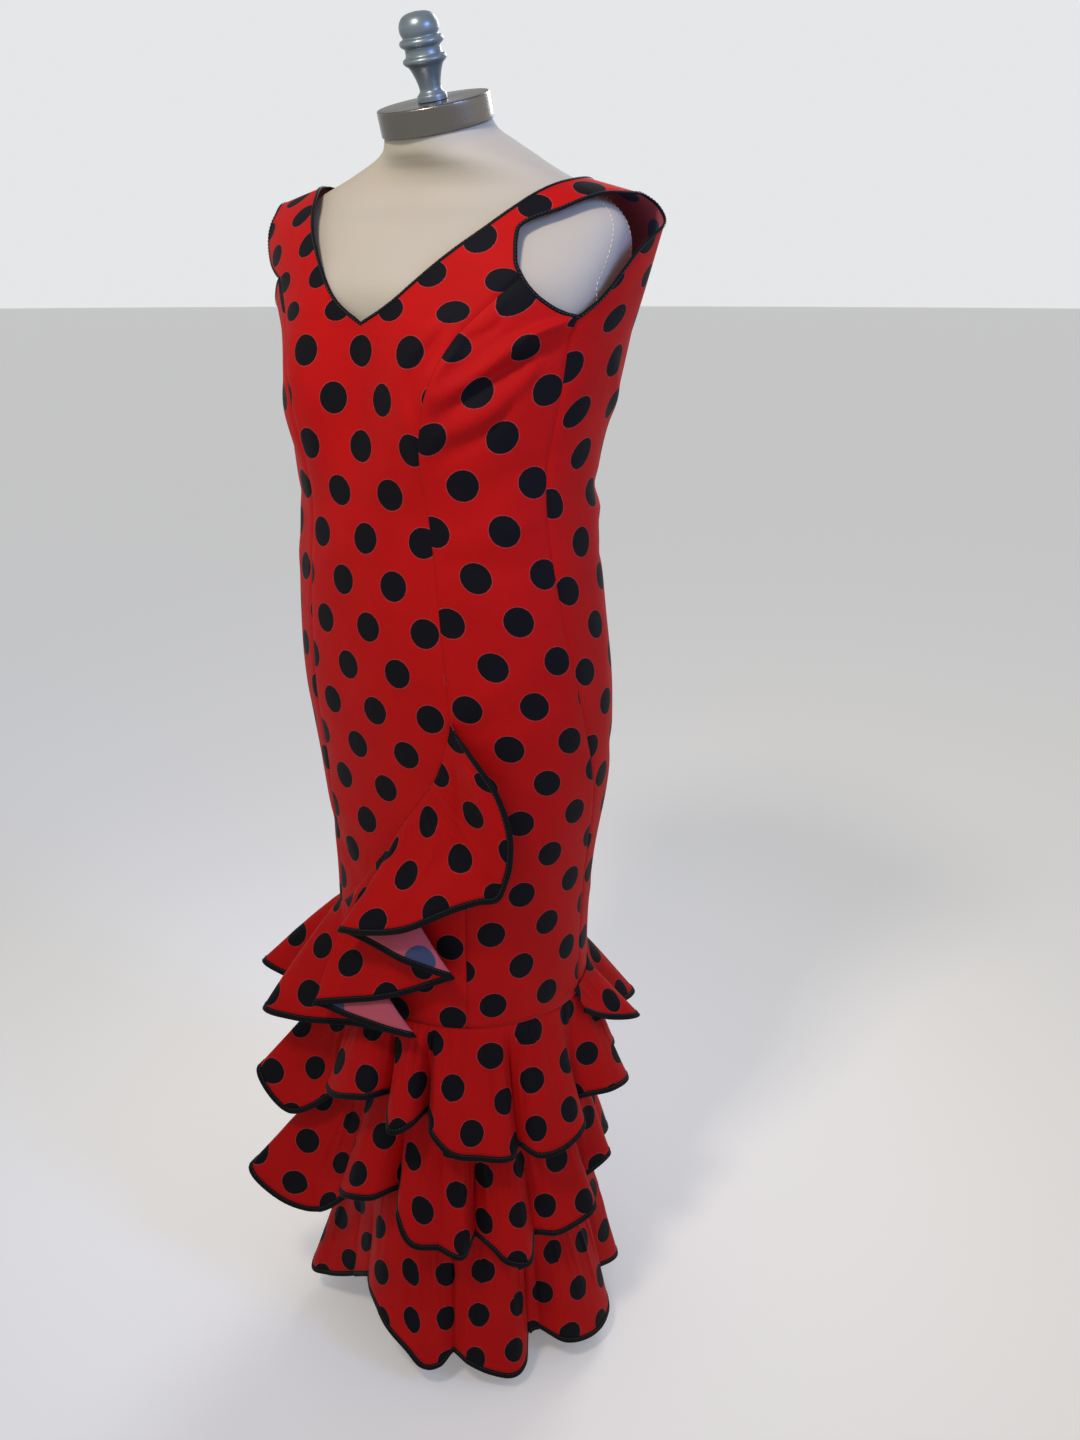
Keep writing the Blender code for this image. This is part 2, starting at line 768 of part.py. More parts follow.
def buildUnderSkirt():
    points = []
    for share in (0.0, 0.33, 0.66, 1.0):
        row = []
        for column in range(underSkirtColumns):
            angle = 360.0 * column / underSkirtColumns
            top = skirtSeamLevel(angle) + underSkirtLap
            height = underSkirtBottom + (top - underSkirtBottom) * share
            row.append(torsoPoint(angle, height, -underSkirtInset))
        points.append(row)
    gridObject("under_skirt", points, redCloth, clothWall, 0.0, True)


def buildZip():
    # The tape of the concealed zip, behind the centre back seam.
    points = []
    for level in [0.86, 0.93, 1.0, 1.06, 1.115, 1.17, bustLevel, levelOf(0.15), levelOf(backNeckTau - 0.03)]:
        reach = math.degrees(zipHalfTape / sectionAt(level)[0])
        inset = -(clothWall + layGap)
        points.append([torsoPoint(180.0 + reach * step, level, inset) for step in (-1, 0, 1)])
    gridObject("centre_back_zip", points, blackBias, zipWall, -1.0)


def formRing(row, shrink=0.0):
    height, halfWidth, front, back, centreY, tilt, turn = row
    ring = []
    lean = math.radians(tilt)
    twist = math.radians(turn)
    shift = shoulderShift * twist / shoulderTwist
    for column in range(formColumnsRound):
        turned = 2 * math.pi * column / formColumnsRound
        faces = math.cos(turned)
        depth = front if faces > 0 else back
        x = (halfWidth - shrink) * signedPower(math.sin(turned), 2 / sectionPower)
        y = -(depth - shrink) * signedPower(faces, 2 / sectionPower)
        y -= bustBulge(x, height, faces)
        leaned = height + y * math.sin(lean)
        y = centreY + y * math.cos(lean)
        across = x * math.cos(twist) - y * math.sin(twist) + shift
        ring.append(Vector((across, x * math.sin(twist) + y * math.cos(twist), leaned)))
    return ring


def buildFormBody():
    rows = []
    for level in (formBottom + formBottomRound, 0.785, 0.855, 0.925, 0.995, 1.06, 1.115, 1.17, bustLevel):
        halfWidth, front, back, centreY = sectionAt(level)[:4]
        inset = formClearance
        rows.append((level, halfWidth - inset, front - inset, back - inset, centreY, 0.0, 0.0))
    lowest = rows[0][1:]
    cut = formBottomRound / 3
    rings = [formRing((formBottom, *lowest), formBottomRound), formRing((formBottom + cut, *lowest), cut)]
    rings += [formRing(row) for row in rows + list(formUpperRows)]
    mesh = bpy.data.meshes.new("form_body")
    shell = bmesh.new()
    grid = [[shell.verts.new(point) for point in ring] for ring in rings]
    for low, high in zip(grid, grid[1:]):
        for column in range(formColumnsRound):
            beside = (column + 1) % formColumnsRound
            shell.faces.new((low[column], low[beside], high[beside], high[column]))
    shell.faces.new(grid[0])
    shell.faces.new(grid[-1])
    bmesh.ops.recalc_face_normals(shell, faces=shell.faces)
    shell.to_mesh(mesh)
    shell.free()
    finishPiece(bpy.data.objects.new("form_body", mesh), formLinen)


def turned(name, profile, material, steps=32):
    # A turned piece: the profile runs down its outer side, and a Screw modifier spins it round Z.
    mesh = bpy.data.meshes.new(name)
    edges = [(index, index + 1) for index in range(len(profile) - 1)]
    mesh.from_pydata([(radius, 0.0, height) for radius, height in profile], edges, [])
    piece = bpy.data.objects.new(name, mesh)
    screw = piece.modifiers.new("turn", "SCREW")
    screw.steps = steps
    screw.render_steps = steps
    screw.use_merge_vertices = True
    screw.merge_threshold = 0.00001
    finishPiece(piece, material)
    return piece


def roundedRim(radius, top, bottom, bevel):
    slant = bevel * (1 - math.sqrt(0.5))
    return [
        (0.0, top),
        (radius - bevel, top),
        (radius - slant, top - slant),
        (radius, top - bevel),
        (radius, bottom + bevel),
        (radius - slant, bottom + slant),
        (radius - bevel, bottom),
        (0.0, bottom),
    ]


def buildNeckPieces():
    lean = Matrix.Rotation(neckTilt, 4, "X")
    cap = turned("neck_cap", roundedRim(capRadius, capHeight, 0.0, 0.0015), brushedSteel, 32)
    cap.matrix_world = Matrix.Translation(neckTop + lean @ Vector((0, 0, layGap))) @ lean
    # From the tip down: egg, ring, neck, ring, long taper, foot.
    finialRows = (
        (0.0, 1.000),
        (0.0092, 0.985),
        (0.0150, 0.945),
        (0.0184, 0.870),
        (0.0188, 0.790),
        (0.0172, 0.725),
        (0.0202, 0.700),
        (0.0212, 0.665),
        (0.0198, 0.630),
        (0.0172, 0.600),
        (0.0176, 0.520),
        (0.0202, 0.495),
        (0.0211, 0.465),
        (0.0196, 0.430),
        (0.0160, 0.385),
        (0.0120, 0.250),
        (0.0105, 0.130),
        (0.0125, 0.085),
        (0.0142, 0.060),
        (0.0145, 0.0),
        (0.0, 0.0),
    )
    profile = [(radius, share * finialHeight) for radius, share in finialRows]
    finial = turned("finial", profile, satinGrey, 16)
    seat = neckTop + lean @ Vector((0, 0, capHeight + 2 * layGap))
    finial.matrix_world = Matrix.Translation(seat) @ lean


def buildStand():
    hubTop = baseThickness + hubHeight
    profile = [
        (0.0, hubTop),
        (hubRadius - 0.004, hubTop),
        (hubRadius - 0.001, hubTop - 0.003),
        (hubRadius, baseThickness + 0.010),
        (hubRadius + 0.010, baseThickness + 0.001),
        (baseRadius - 0.003, baseThickness),
        (baseRadius, baseThickness - 0.003),
        (baseRadius, 0.0),
        (0.0, 0.0),
    ]
    turned("base_plate", profile, blackSteel, 40)
    bottom = hubTop + layGap
    top = formBottom - layGap
    bpy.ops.mesh.primitive_cylinder_add(vertices=24, radius=poleRadius, depth=top - bottom)
    pole = bpy.context.object
    pole.name = "pole"
    pole.data.name = "pole"
    pole.location.z = (top + bottom) / 2
    for collection in list(pole.users_collection):
        collection.objects.unlink(pole)
    finishPiece(pole, brushedSteel)


partCollection = bpy.data.collections.new("flamenco_dress_on_form")
bpy.context.scene.collection.children.link(partCollection)

redCloth = newMaterial("red_cloth", (0.55, 0.012, 0.016), 0.8)
blackBias = newMaterial("black_bias", (0.012, 0.011, 0.016), 0.75)
formLinen = newMaterial("form_linen", (0.66, 0.62, 0.53), 0.85)
brushedSteel = newMaterial("brushed_steel", (0.42, 0.40, 0.38), 0.32, 1.0)
satinGrey = newMaterial("satin_grey", (0.36, 0.39, 0.42), 0.4, 0.6)
blackSteel = newMaterial("black_steel", (0.02, 0.02, 0.022), 0.45, 0.5)

seatOut = clothWall + layGap
underSkirtInset = seatOut + facetSag
tierSeatOut = layGap - underSkirtInset + (clothWall + flounceWall) / 2 + facetSag / 2
flounces = (
    {
        "name": "flounce_1",
        "rows": cascadeRows,
        "closed": False,
        "seamOut": seatOut + facetSag,
        "perRow": 3,
        "down": 3,
        "spread": 1.5,
    },
    {
        "name": "flounce_2",
        "rows": kneeRows,
        "closed": True,
        "seamOut": 0.0,
        "perRow": 3,
        "down": 2,
        "spread": 1.0,
        "seam": lambda angle: skirtSeamLevel(angle) - flounceSeamDrop,
    },
    {
        "name": "flounce_3",
        "rows": calfRows,
        "closed": True,
        "seamOut": tierSeatOut,
        "perRow": 3,
        "down": 2,
        "spread": 1.0,
        "seam": lambda angle: liftedSeam(calfSeamHeight, angle),
    },
    {
        "name": "flounce_4",
        "rows": bottomRows,
        "closed": True,
        "seamOut": tierSeatOut,
        "perRow": 3,
        "down": 2,
        "spread": 1.0,
        "seam": lambda angle: liftedSeam(bottomSeamHeight, angle),
    },
)

buildBodice()
buildZip()
buildUnderSkirt()
for tier in flounces:
    buildFlounce(tier)
buildFormBody()
buildNeckPieces()
buildStand()
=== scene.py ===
import math

import bmesh
import bpy
from mathutils import Matrix, Vector, noise


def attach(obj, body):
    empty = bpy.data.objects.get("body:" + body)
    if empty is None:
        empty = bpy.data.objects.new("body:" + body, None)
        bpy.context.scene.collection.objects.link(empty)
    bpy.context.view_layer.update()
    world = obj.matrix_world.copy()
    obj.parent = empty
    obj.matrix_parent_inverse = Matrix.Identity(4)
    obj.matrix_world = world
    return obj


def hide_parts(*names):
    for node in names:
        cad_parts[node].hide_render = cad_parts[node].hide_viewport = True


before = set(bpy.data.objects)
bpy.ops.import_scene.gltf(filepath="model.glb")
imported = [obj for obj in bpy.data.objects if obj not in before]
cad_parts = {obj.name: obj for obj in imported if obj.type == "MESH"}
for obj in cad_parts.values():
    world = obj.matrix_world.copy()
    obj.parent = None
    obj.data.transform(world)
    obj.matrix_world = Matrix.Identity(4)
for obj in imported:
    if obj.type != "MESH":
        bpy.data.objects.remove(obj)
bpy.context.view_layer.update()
print("frame loaded,", len(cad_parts), "nodes")

# One flamenco dress, worn by a limbless dress form. The dress faces -Y, the wearer's left is +X.


def hexColour(code):
    channels = [int(code[place:place + 2], 16) / 255 for place in (1, 3, 5)]
    return (*(c / 12.92 if c <= 0.04045 else ((c + 0.055) / 1.055) ** 2.4 for c in channels), 1.0)


def feed(tree, node, inputs):
    # inputs: (socket, value or the socket that feeds it)
    for socket, value in inputs:
        if isinstance(value, bpy.types.NodeSocket):
            tree.links.new(value, node.inputs[socket])
        else:
            node.inputs[socket].default_value = value
    return node


def addNode(tree, kind, inputs=(), **settings):
    node = tree.nodes.new(kind)
    for key, value in settings.items():
        setattr(node, key, value)
    return feed(tree, node, inputs)


def mathOf(tree, operation, *values):
    return addNode(tree, "ShaderNodeMath", enumerate(values), operation=operation).outputs[0]


def vectorOf(tree, operation, *values, output="Vector"):
    return addNode(tree, "ShaderNodeVectorMath", enumerate(values), operation=operation).outputs[output]


def mappedTo(tree, place, **settings):
    inputs = [("Vector", place)] + [(key.title(), value) for key, value in settings.items()]
    return addNode(tree, "ShaderNodeMapping", inputs).outputs["Vector"]


def mixOf(tree, factor, low, high):
    inputs = [("Factor", factor), ("A", low), ("B", high)]
    return addNode(tree, "ShaderNodeMix", inputs, data_type="RGBA").outputs["Result"]


def noiseOf(tree, place, scale, detail):
    inputs = [("Vector", place), ("Scale", scale), ("Detail", detail)]
    return addNode(tree, "ShaderNodeTexNoise", inputs).outputs[0]


def wavesOf(tree, place, scale, distortion, direction="X"):
    inputs = [("Vector", place), ("Scale", scale), ("Distortion", distortion)]
    return addNode(tree, "ShaderNodeTexWave", inputs, bands_direction=direction).outputs["Fac"]


def rangeOf(tree, value, low, high):
    return addNode(tree, "ShaderNodeMapRange", [("Value", value), ("To Min", low), ("To Max", high)]).outputs[0]


def bumpOf(tree, strength, distance, height, under=()):
    inputs = [("Strength", strength), ("Distance", distance), ("Height", height), *under]
    return addNode(tree, "ShaderNodeBump", inputs).outputs[0]


def newMaterial(name):
    material = bpy.data.materials.new(name)
    material.use_nodes = True
    tree = material.node_tree
    return material, tree, tree.nodes["Principled BSDF"]


def linkPiece(name, mesh, materials):
    piece = bpy.data.objects.new(name, mesh)
    for material in materials:
        piece.data.materials.append(material)
    bpy.context.scene.collection.objects.link(piece)
    return piece


def plainMesh(piece):
    # The evaluated result becomes the piece's own mesh, and its modifiers go.
    bpy.context.view_layer.update()
    result = bpy.data.meshes.new_from_object(piece.evaluated_get(bpy.context.evaluated_depsgraph_get()))
    piece.modifiers.clear()
    piece.data = result
    return piece


def smoothRead(rows, column, at):
    # A column read by its first column, with a smooth curve through the rows.
    if at <= rows[0][0]:
        return rows[0][column]
    if at >= rows[-1][0]:
        return rows[-1][column]
    index = 0
    while rows[index + 1][0] < at:
        index += 1
    low, high = rows[index], rows[index + 1]
    before = rows[max(index - 1, 0)]
    after = rows[min(index + 2, len(rows) - 1)]
    span = high[0] - low[0]
    share = (at - low[0]) / span
    slopeLow = (high[column] - before[column]) / (high[0] - before[0]) * span
    slopeHigh = (after[column] - low[column]) / (after[0] - low[0]) * span
    return hermite(share, low[column], high[column], slopeLow, slopeHigh)


def hermite(share, low, high, slopeLow, slopeHigh):
    squared = share * share
    cubed = squared * share
    return (
        (2 * cubed - 3 * squared + 1) * low
        + (cubed - 2 * squared + share) * slopeLow
        + (3 * squared - 2 * cubed) * high
        + (cubed - squared) * slopeHigh
    )


quarterTurns = [math.pi / 2 * step / 6 for step in range(7)]


def signedPower(value, power):
    return math.copysign(abs(value) ** power, value)


def easeBetween(low, high, at):
    share = min(max((at - low) / (high - low), 0.0), 1.0)
    return share * share * (3 - 2 * share)


# The body that the dress is cut for, the same as in the solids.
bodySettings = {
    "bustLevel": 1.218,
    "shoulderRise": 0.137,
    "shoulderNeckX": 0.150,
    "shoulderHeight": 1.355,
    "shoulderSlope": 0.27,
    "shoulderHalfWidth": 0.235,
    "shoulderTwist": math.radians(10),
    "shoulderShift": 0.002,
    "sectionPower": 2.15,
    "roundOverPower": 2.2,
    "roundOverRoot": 1.7,
    "bustX": 0.086,
    "bustHeight": 1.165,
    "bustSpreadX": 0.052,
    "bustSpreadZ": 0.075,
    "bustLift": 0.026,
}
bustLevel = bodySettings["bustLevel"]
# Columns: height, halfWidth, front, back, centreY.
sectionRows = (
    (0.060, 0.150, 0.146, 0.146, 0.000),
    (0.200, 0.146, 0.140, 0.142, 0.000),
    (0.350, 0.144, 0.136, 0.138, 0.000),
    (0.478, 0.146, 0.136, 0.138, 0.000),
    (0.570, 0.149, 0.135, 0.137, 0.000),
    (0.648, 0.156, 0.134, 0.136, 0.002),
    (0.748, 0.173, 0.138, 0.143, 0.004),
    (0.848, 0.182, 0.139, 0.144, -0.005),
    (0.948, 0.177, 0.134, 0.137, -0.012),
    (1.048, 0.169, 0.127, 0.129, -0.014),
    (1.098, 0.170, 0.127, 0.130, -0.013),
    (1.168, 0.184, 0.122, 0.152, -0.011),
    (1.218, 0.194, 0.120, 0.163, -0.010),
)


def tauOf(level):
    return (level - bustLevel) / bodySettings["shoulderRise"]


def levelOf(tau):
    return bustLevel + tau * bodySettings["shoulderRise"]


def sectionAt(level):
    tau = tauOf(level)
    if tau <= 0:
        return tuple(smoothRead(sectionRows, column, level) for column in range(1, 5)) + (tau,)
    halfWidth, front, back, centreY = sectionRows[-1][1:]
    rounded = 1 - min(tau, 1.0) ** bodySettings["roundOverPower"]
    shrink = max(rounded, 0.0) ** (1 / bodySettings["roundOverRoot"])
    halfWidth = halfWidth + (bodySettings["shoulderHalfWidth"] - halfWidth) * tau
    return halfWidth, front * shrink, back * shrink, centreY * (1 - tau), tau


def bustBulge(x, height, faces):
    across = (abs(x) - bodySettings["bustX"]) / bodySettings["bustSpreadX"]
    along = (height - bodySettings["bustHeight"]) / bodySettings["bustSpreadZ"]
    return bodySettings["bustLift"] * math.exp(-across * across - along * along) * max(faces, 0.0) ** 0.5


def torsoPoint(angle, level, standOff=0.0):
    # angle in degrees round the body from the centre front, level by height
    halfWidth, front, back, centreY, tau = sectionAt(level)
    turned = math.radians(angle)
    faces = math.cos(turned)
    depth = front if faces > 0 else back
    power = 2 / bodySettings["sectionPower"]
    x = (halfWidth + standOff) * signedPower(math.sin(turned), power)
    y = centreY - (depth + standOff) * signedPower(faces, power)
    height = level
    if tau > 0:
        outside = abs(x) - bodySettings["shoulderNeckX"]
        top = bodySettings["shoulderHeight"] - bodySettings["shoulderSlope"] * outside
        height = bustLevel + tau * (top - bustLevel)
    y -= bustBulge(x, height, faces)
    if tau > 0:
        twist = bodySettings["shoulderTwist"] * tau
        x, y = x * math.cos(twist) - y * math.sin(twist), x * math.sin(twist) + y * math.cos(twist)
        x += bodySettings["shoulderShift"] * tau
    return Vector((x, y, height))


def angleOfX(x, level):
    share = min(abs(x) / sectionAt(level)[0], 1.0)
    return math.degrees(math.asin(share ** (bodySettings["sectionPower"] / 2)))


def skirtSeamLevel(angle):
    away = math.radians(angle - bodice["skirtSeamHigh"])
    return bodice["skirtSeamHeight"] + bodice["skirtSeamTilt"] * math.cos(away)


# The cloth's colours and print. Its materials follow each panel's own cut.
clothSettings = {
    "wall": 0.0012,
    "dotAcross": 0.0680,      # between dots in a row
    "dotUp": 0.0895,          # between rows of the same column; the rows between stand half a step over
    "dotRadius": 0.0153,
    "thread": 0.0012,         # drawn three times coarser than real poplin, or it wouldn't show
    "red": "#AE0806",
    "redDeep": "#980507",
    "dot": "#07070E",
    "rim": "#9C6A6C",
    "rimWidth": 0.0003,
    "rimShare": 0.22,
    "edgeWaver": 0.0012,      # how far noise moves the print's edge
    "edgeBlur": 0.0003,
    "wrongSide": "#B4525E",
    "wrongSideDeep": "#9A4352",
    "wrongDot": "#39415F",
}


def waveScale(thread):
    # The wave node draws twenty radians to each unit of its scale.
    return 2 * math.pi / (20 * thread)


def poplin(name, ground, groundDeep, dot, start, turn):
    # Woven cotton and polyester poplin, screen printed: matt, with a faint sheen along its threads.
    material, tree, shader = newMaterial(name)
    across, up = clothSettings["dotAcross"], clothSettings["dotUp"]
    place = addNode(tree, "ShaderNodeUVMap", uv_map="clothUv").outputs["UV"]
    laid = mappedTo(tree, place, location=(*start, 0.0), rotation=(0.0, 0.0, math.radians(turn)))
    distances = []
    for shift in (0.0, 0.5):
        steps = vectorOf(tree, "MULTIPLY_ADD", laid, (1 / across, 1 / up, 0.0), (shift, shift, 0.0))
        cell = vectorOf(tree, "FRACTION", steps)
        centred = vectorOf(tree, "MULTIPLY_ADD", cell, (across, up, 0.0), (-across / 2, -up / 2, 0.0))
        distances.append(vectorOf(tree, "LENGTH", centred, output="Value"))
    nearest = mathOf(tree, "MINIMUM", *distances)
    # The print's edge wavers by a thread or so.
    edge = mathOf(tree, "MULTIPLY_ADD", noiseOf(tree, place, 420.0, 2.0), clothSettings["edgeWaver"], nearest)
    radius = clothSettings["dotRadius"] + clothSettings["edgeWaver"] / 2
    blur = clothSettings["edgeBlur"]
    edgeRange = [("Value", edge), ("From Min", radius - blur), ("From Max", radius + blur)]
    printed = addNode(tree, "ShaderNodeMapRange", edgeRange + [("To Min", 1.0), ("To Max", 0.0)]).outputs[0]
    # Slow changes of shade, as dyed cloth has after wear and pressing.
    shade = noiseOf(tree, place, 14.0, 3.0)
    dyed = mixOf(tree, shade, hexColour(ground), hexColour(groundDeep))
    colour = mixOf(tree, printed, dyed, hexColour(dot))
    # A thin pale line is left round each dot, where the two inks don't quite meet.
    rim = mathOf(tree, "COMPARE", edge, radius + clothSettings["rimWidth"], clothSettings["rimWidth"])
    rimShare = mathOf(tree, "MULTIPLY", rim, clothSettings["rimShare"])
    colour = mixOf(tree, rimShare, colour, hexColour(clothSettings["rim"]))
    # Warp and weft, one wave for each.
    threads = [wavesOf(tree, place, waveScale(clothSettings["thread"]), 0.6, direction) for direction in "XY"]
    fine = bumpOf(tree, 0.22, 0.0004, mathOf(tree, "MAXIMUM", *threads))
    worn = bumpOf(tree, 0.35, 0.0016, noiseOf(tree, place, 55.0, 4.0), [("Normal", fine)])
    feed(tree, shader, (
        ("Base Color", colour),
        ("Roughness", rangeOf(tree, shade, 0.62, 0.78)),
        ("Normal", worn),
        ("IOR", 1.5),
        ("Specular IOR Level", 0.1),
        ("Sheen Weight", 0.02),
        ("Sheen Roughness", 0.4),
    ))
    return material


def biasTape(name):
    # Black cotton bias tape: its threads run slantwise, and folded edges catch a little light.
    material, tree, shader = newMaterial(name)
    place = addNode(tree, "ShaderNodeUVMap", uv_map="clothUv").outputs["UV"]
    slant = mappedTo(tree, place, rotation=(0.0, 0.0, math.radians(45)))
    dust = noiseOf(tree, place, 180.0, 3.0)
    feed(tree, shader, (
        ("Base Color", mixOf(tree, dust, hexColour("#020204"), hexColour("#060609"))),
        ("Normal", bumpOf(tree, 0.3, 0.0004, wavesOf(tree, slant, waveScale(0.0011), 0.4))),
        ("Roughness", 0.68),
        ("Specular IOR Level", 0.12),
        ("Sheen Weight", 0.02),
    ))
    return material


def cottonThread(name, colour):
    material, tree, shader = newMaterial(name)
    place = addNode(tree, "ShaderNodeTexCoord").outputs["Object"]
    rough = rangeOf(tree, noiseOf(tree, place, 900.0, 1.0), 0.45, 0.7)
    feed(tree, shader, (("Roughness", rough), ("Base Color", hexColour(colour))))
    return material


def linenCover(name):
    # Off-white linen pasted over the form: slubby threads, matt, a little yellowed.
    material, tree, shader = newMaterial(name)
    place = addNode(tree, "ShaderNodeTexCoord").outputs["Object"]
    threads = [
        noiseOf(tree, mappedTo(tree, place, scale=stretch), 1.0, 3.0)
        for stretch in ((60.0, 60.0, 900.0), (700.0, 700.0, 45.0))
    ]
    age = noiseOf(tree, place, 9.0, 4.0)
    feed(tree, shader, (
        ("Base Color", mixOf(tree, age, hexColour("#ABA69C"), hexColour("#A0998B"))),
        ("Normal", bumpOf(tree, 0.3, 0.0005, mathOf(tree, "ADD", *threads))),
        ("Roughness", 0.82),
        ("Specular IOR Level", 0.25),
    ))
    return material


def brushedSteelBand(name):
    # Stainless steel, brushed on the lathe: fine rings run round the neck, so highlights smear up and down.
    material, tree, shader = newMaterial(name)
    place = addNode(tree, "ShaderNodeUVMap", uv_map="turnUv").outputs["UV"]
    grain = noiseOf(tree, mappedTo(tree, place, scale=(14.0, 1800.0, 1.0)), 1.0, 4.0)
    feed(tree, shader, (
        ("Roughness", rangeOf(tree, grain, 0.16, 0.36)),
        ("Normal", bumpOf(tree, 0.18, 0.0002, grain)),
        ("Base Color", hexColour("#7A756F")),
        ("Metallic", 1.0),
        ("Anisotropic", 0.5),
    ))
    return material


def satinPaint(name, colour, metallic, roughness):
    # Metallic satin paint on turned wood or steel: soft highlights and a faint orange peel.
    material, tree, shader = newMaterial(name)
    place = addNode(tree, "ShaderNodeTexCoord").outputs["Object"]
    wear = noiseOf(tree, place, 60.0, 5.0)
    feed(tree, shader, (
        ("Roughness", rangeOf(tree, wear, roughness - 0.08, roughness + 0.12)),
        ("Normal", bumpOf(tree, 0.08, 0.0003, noiseOf(tree, place, 420.0, 2.0))),
        ("Base Color", hexColour(colour)),
        ("Metallic", metallic),
    ))
    return material


def clothSides(name):
    # The print shows through the cloth, so its wrong side has the same dots in the same places, only paler.
    place = printPlaces[name]
    return [
        poplin(name + ending, *(clothSettings[key] for key in keys), place["start"], place["turn"])
        for ending, keys in (
            ("_poplin", ("red", "redDeep", "dot")),
            ("_poplin_wrong_side", ("wrongSide", "wrongSideDeep", "wrongDot")),
        )
    ]


blackTape = biasTape("black_bias_tape")
blackThread = cottonThread("black_cotton_thread", "#1C1B21")
creamThread = cottonThread("cream_cotton_thread", "#CFC6B2")
linen = linenCover("linen_cover")
print("materials ready")


def layGrid(sheet, layer, points, flat, closedRound=False, mirrored=False):
    # A grid of points with its place in the cloth's own cut. Each corner is row, column and column of the cut.
    grid = [[sheet.verts.new(point) for point in row] for row in points]
    columns = len(points[0])
    for low in range(len(points) - 1):
        for column in range(columns if closedRound else columns - 1):
            beside = (column + 1) % columns
            corners = [(low, column, column), (low, beside, column + 1)]
            corners += [(low + 1, beside, column + 1), (low + 1, column, column)]
            if mirrored:
                corners.reverse()
            face = sheet.faces.new([grid[row][place] for row, place, cut in corners])
            face.smooth = True
            for loop, (row, place, cut) in zip(face.loops, corners):
                loop[layer].uv = flat[row][cut]


def finishSheet(name, sheet):
    # The sheet gets a wall whose inner side is the cloth's wrong side.
    mesh = bpy.data.meshes.new(name)
    sheet.to_mesh(mesh)
    sheet.free()
    piece = linkPiece(name, mesh, clothSides(name))
    wall = piece.modifiers.new("wall", "SOLIDIFY")
    wall.thickness = clothSettings["wall"]
    wall.offset = 0.0
    wall.material_offset = 1
    return plainMesh(piece)


def clothSheet(name, points, flat, outward, closedRound=False):
    # outward: row, column and a direction that the right side must face there.
    sheet = bmesh.new()
    layGrid(sheet, sheet.loops.layers.uv.new("clothUv"), points, flat, closedRound)
    row, column, way = outward
    sheet.faces.ensure_lookup_table()
    sheet.normal_update()
    facesPerRow = len(sheet.faces) // (len(points) - 1)
    if sheet.faces[row * facesPerRow + column].normal.dot(way) < 0:
        bmesh.ops.reverse_faces(sheet, faces=sheet.faces)
    bmesh.ops.remove_doubles(sheet, verts=sheet.verts, dist=0.00001)
    return finishSheet(name, sheet)


def flatArea(flat):
    # The cut's area, from its grid of flat places.
    area = 0.0
    for low, high in zip(flat, flat[1:]):
        for column in range(len(low) - 1):
            corners = (low[column], low[column + 1], high[column + 1], high[column])
            sides = zip(corners, corners[1:] + corners[:1])
            area += abs(sum(here[0] * ahead[1] - ahead[0] * here[1] for here, ahead in sides)) / 2
    return area


bodice = {
    "skirtSeamHeight": 0.472,
    "skirtSeamTilt": 0.010,
    "skirtSeamHigh": 40.0,
    "vTau": 0.045,
    "armPointTau": 0.364,
    "underarmTau": 0.12,
    "backNeckTau": 0.35,
    "underarmTurnTau": 0.20,
    "bodyRows": 112,
    "riseRows": 46,
    "frontColumns": 30,
    "sideColumns": 40,
    "backColumns": 52,
    "seamDip": 0.0012,        # how far the pressed seams sink
    "seamDipWidth": 0.0040,
    "ease": 0.0011,           # slow unevenness of worn cloth
    "creaseBend": 0.006,
    "zipFlat": (5.0, 16.0),   # degrees from the centre back between which the drape comes in
}
# Half width of the front panel at its princess seams. Columns: level, x.
princessRows = (
    (0.450, 0.094),
    (0.600, 0.095),
    (0.748, 0.094),
    (0.848, 0.096),
    (0.948, 0.090),
    (1.048, 0.080),
    (1.098, 0.078),
    (1.168, 0.092),
    (1.218, 0.112),
    (1.268, 0.1476),
)
# The side seam. Columns: level, angle.
sideRows = (
    (0.450, 105.0),
    (0.648, 102.0),
    (0.748, 95.0),
    (0.848, 86.0),
    (0.948, 79.0),
    (1.048, 74.0),
    (1.168, 73.5),
    (1.235, 72.0),
)
# Neck edges. Columns: tau, x.
frontNeckRows = (
    (0.045, 0.0),
    (0.110, 0.0215),
    (0.180, 0.0385),
    (0.290, 0.0570),
    (0.400, 0.0730),
    (0.500, 0.0870),
    (0.600, 0.1005),
    (0.750, 0.1170),
    (0.850, 0.1270),
    (0.930, 0.1370),
    (1.0, 0.150),
)
backNeckRows = ((0.35, 0.0), (0.50, 0.052), (0.70, 0.099), (0.88, 0.134), (1.0, 0.150))
# Armhole edges. Columns: tau, angle; the dip under the arm is angle, tau.
leftFrontArmRows = (
    (0.364, 43.5),
    (0.430, 39.8),
    (0.517, 37.0),
    (0.590, 35.0),
    (0.658, 33.9),
    (0.726, 36.2),
    (0.800, 41.0),
    (0.900, 45.4),
    (0.960, 49.6),
    (1.0, 58.0),
)
rightFrontArmRows = (
    (0.364, 43.5),
    (0.430, 51.0),
    (0.500, 56.5),
    (0.600, 59.5),
    (0.730, 59.5),
    (0.820, 57.5),
    (0.900, 55.5),
    (1.0, 57.0),
)
leftBackArmRows = (
    (0.12, 72.0),
    (0.206, 76.8),
    (0.320, 80.3),
    (0.482, 82.4),
    (0.656, 85.5),
    (0.758, 92.0),
    (0.830, 101.5),
    (0.900, 110.0),
    (0.950, 115.0),
    (1.0, 122.0),
)
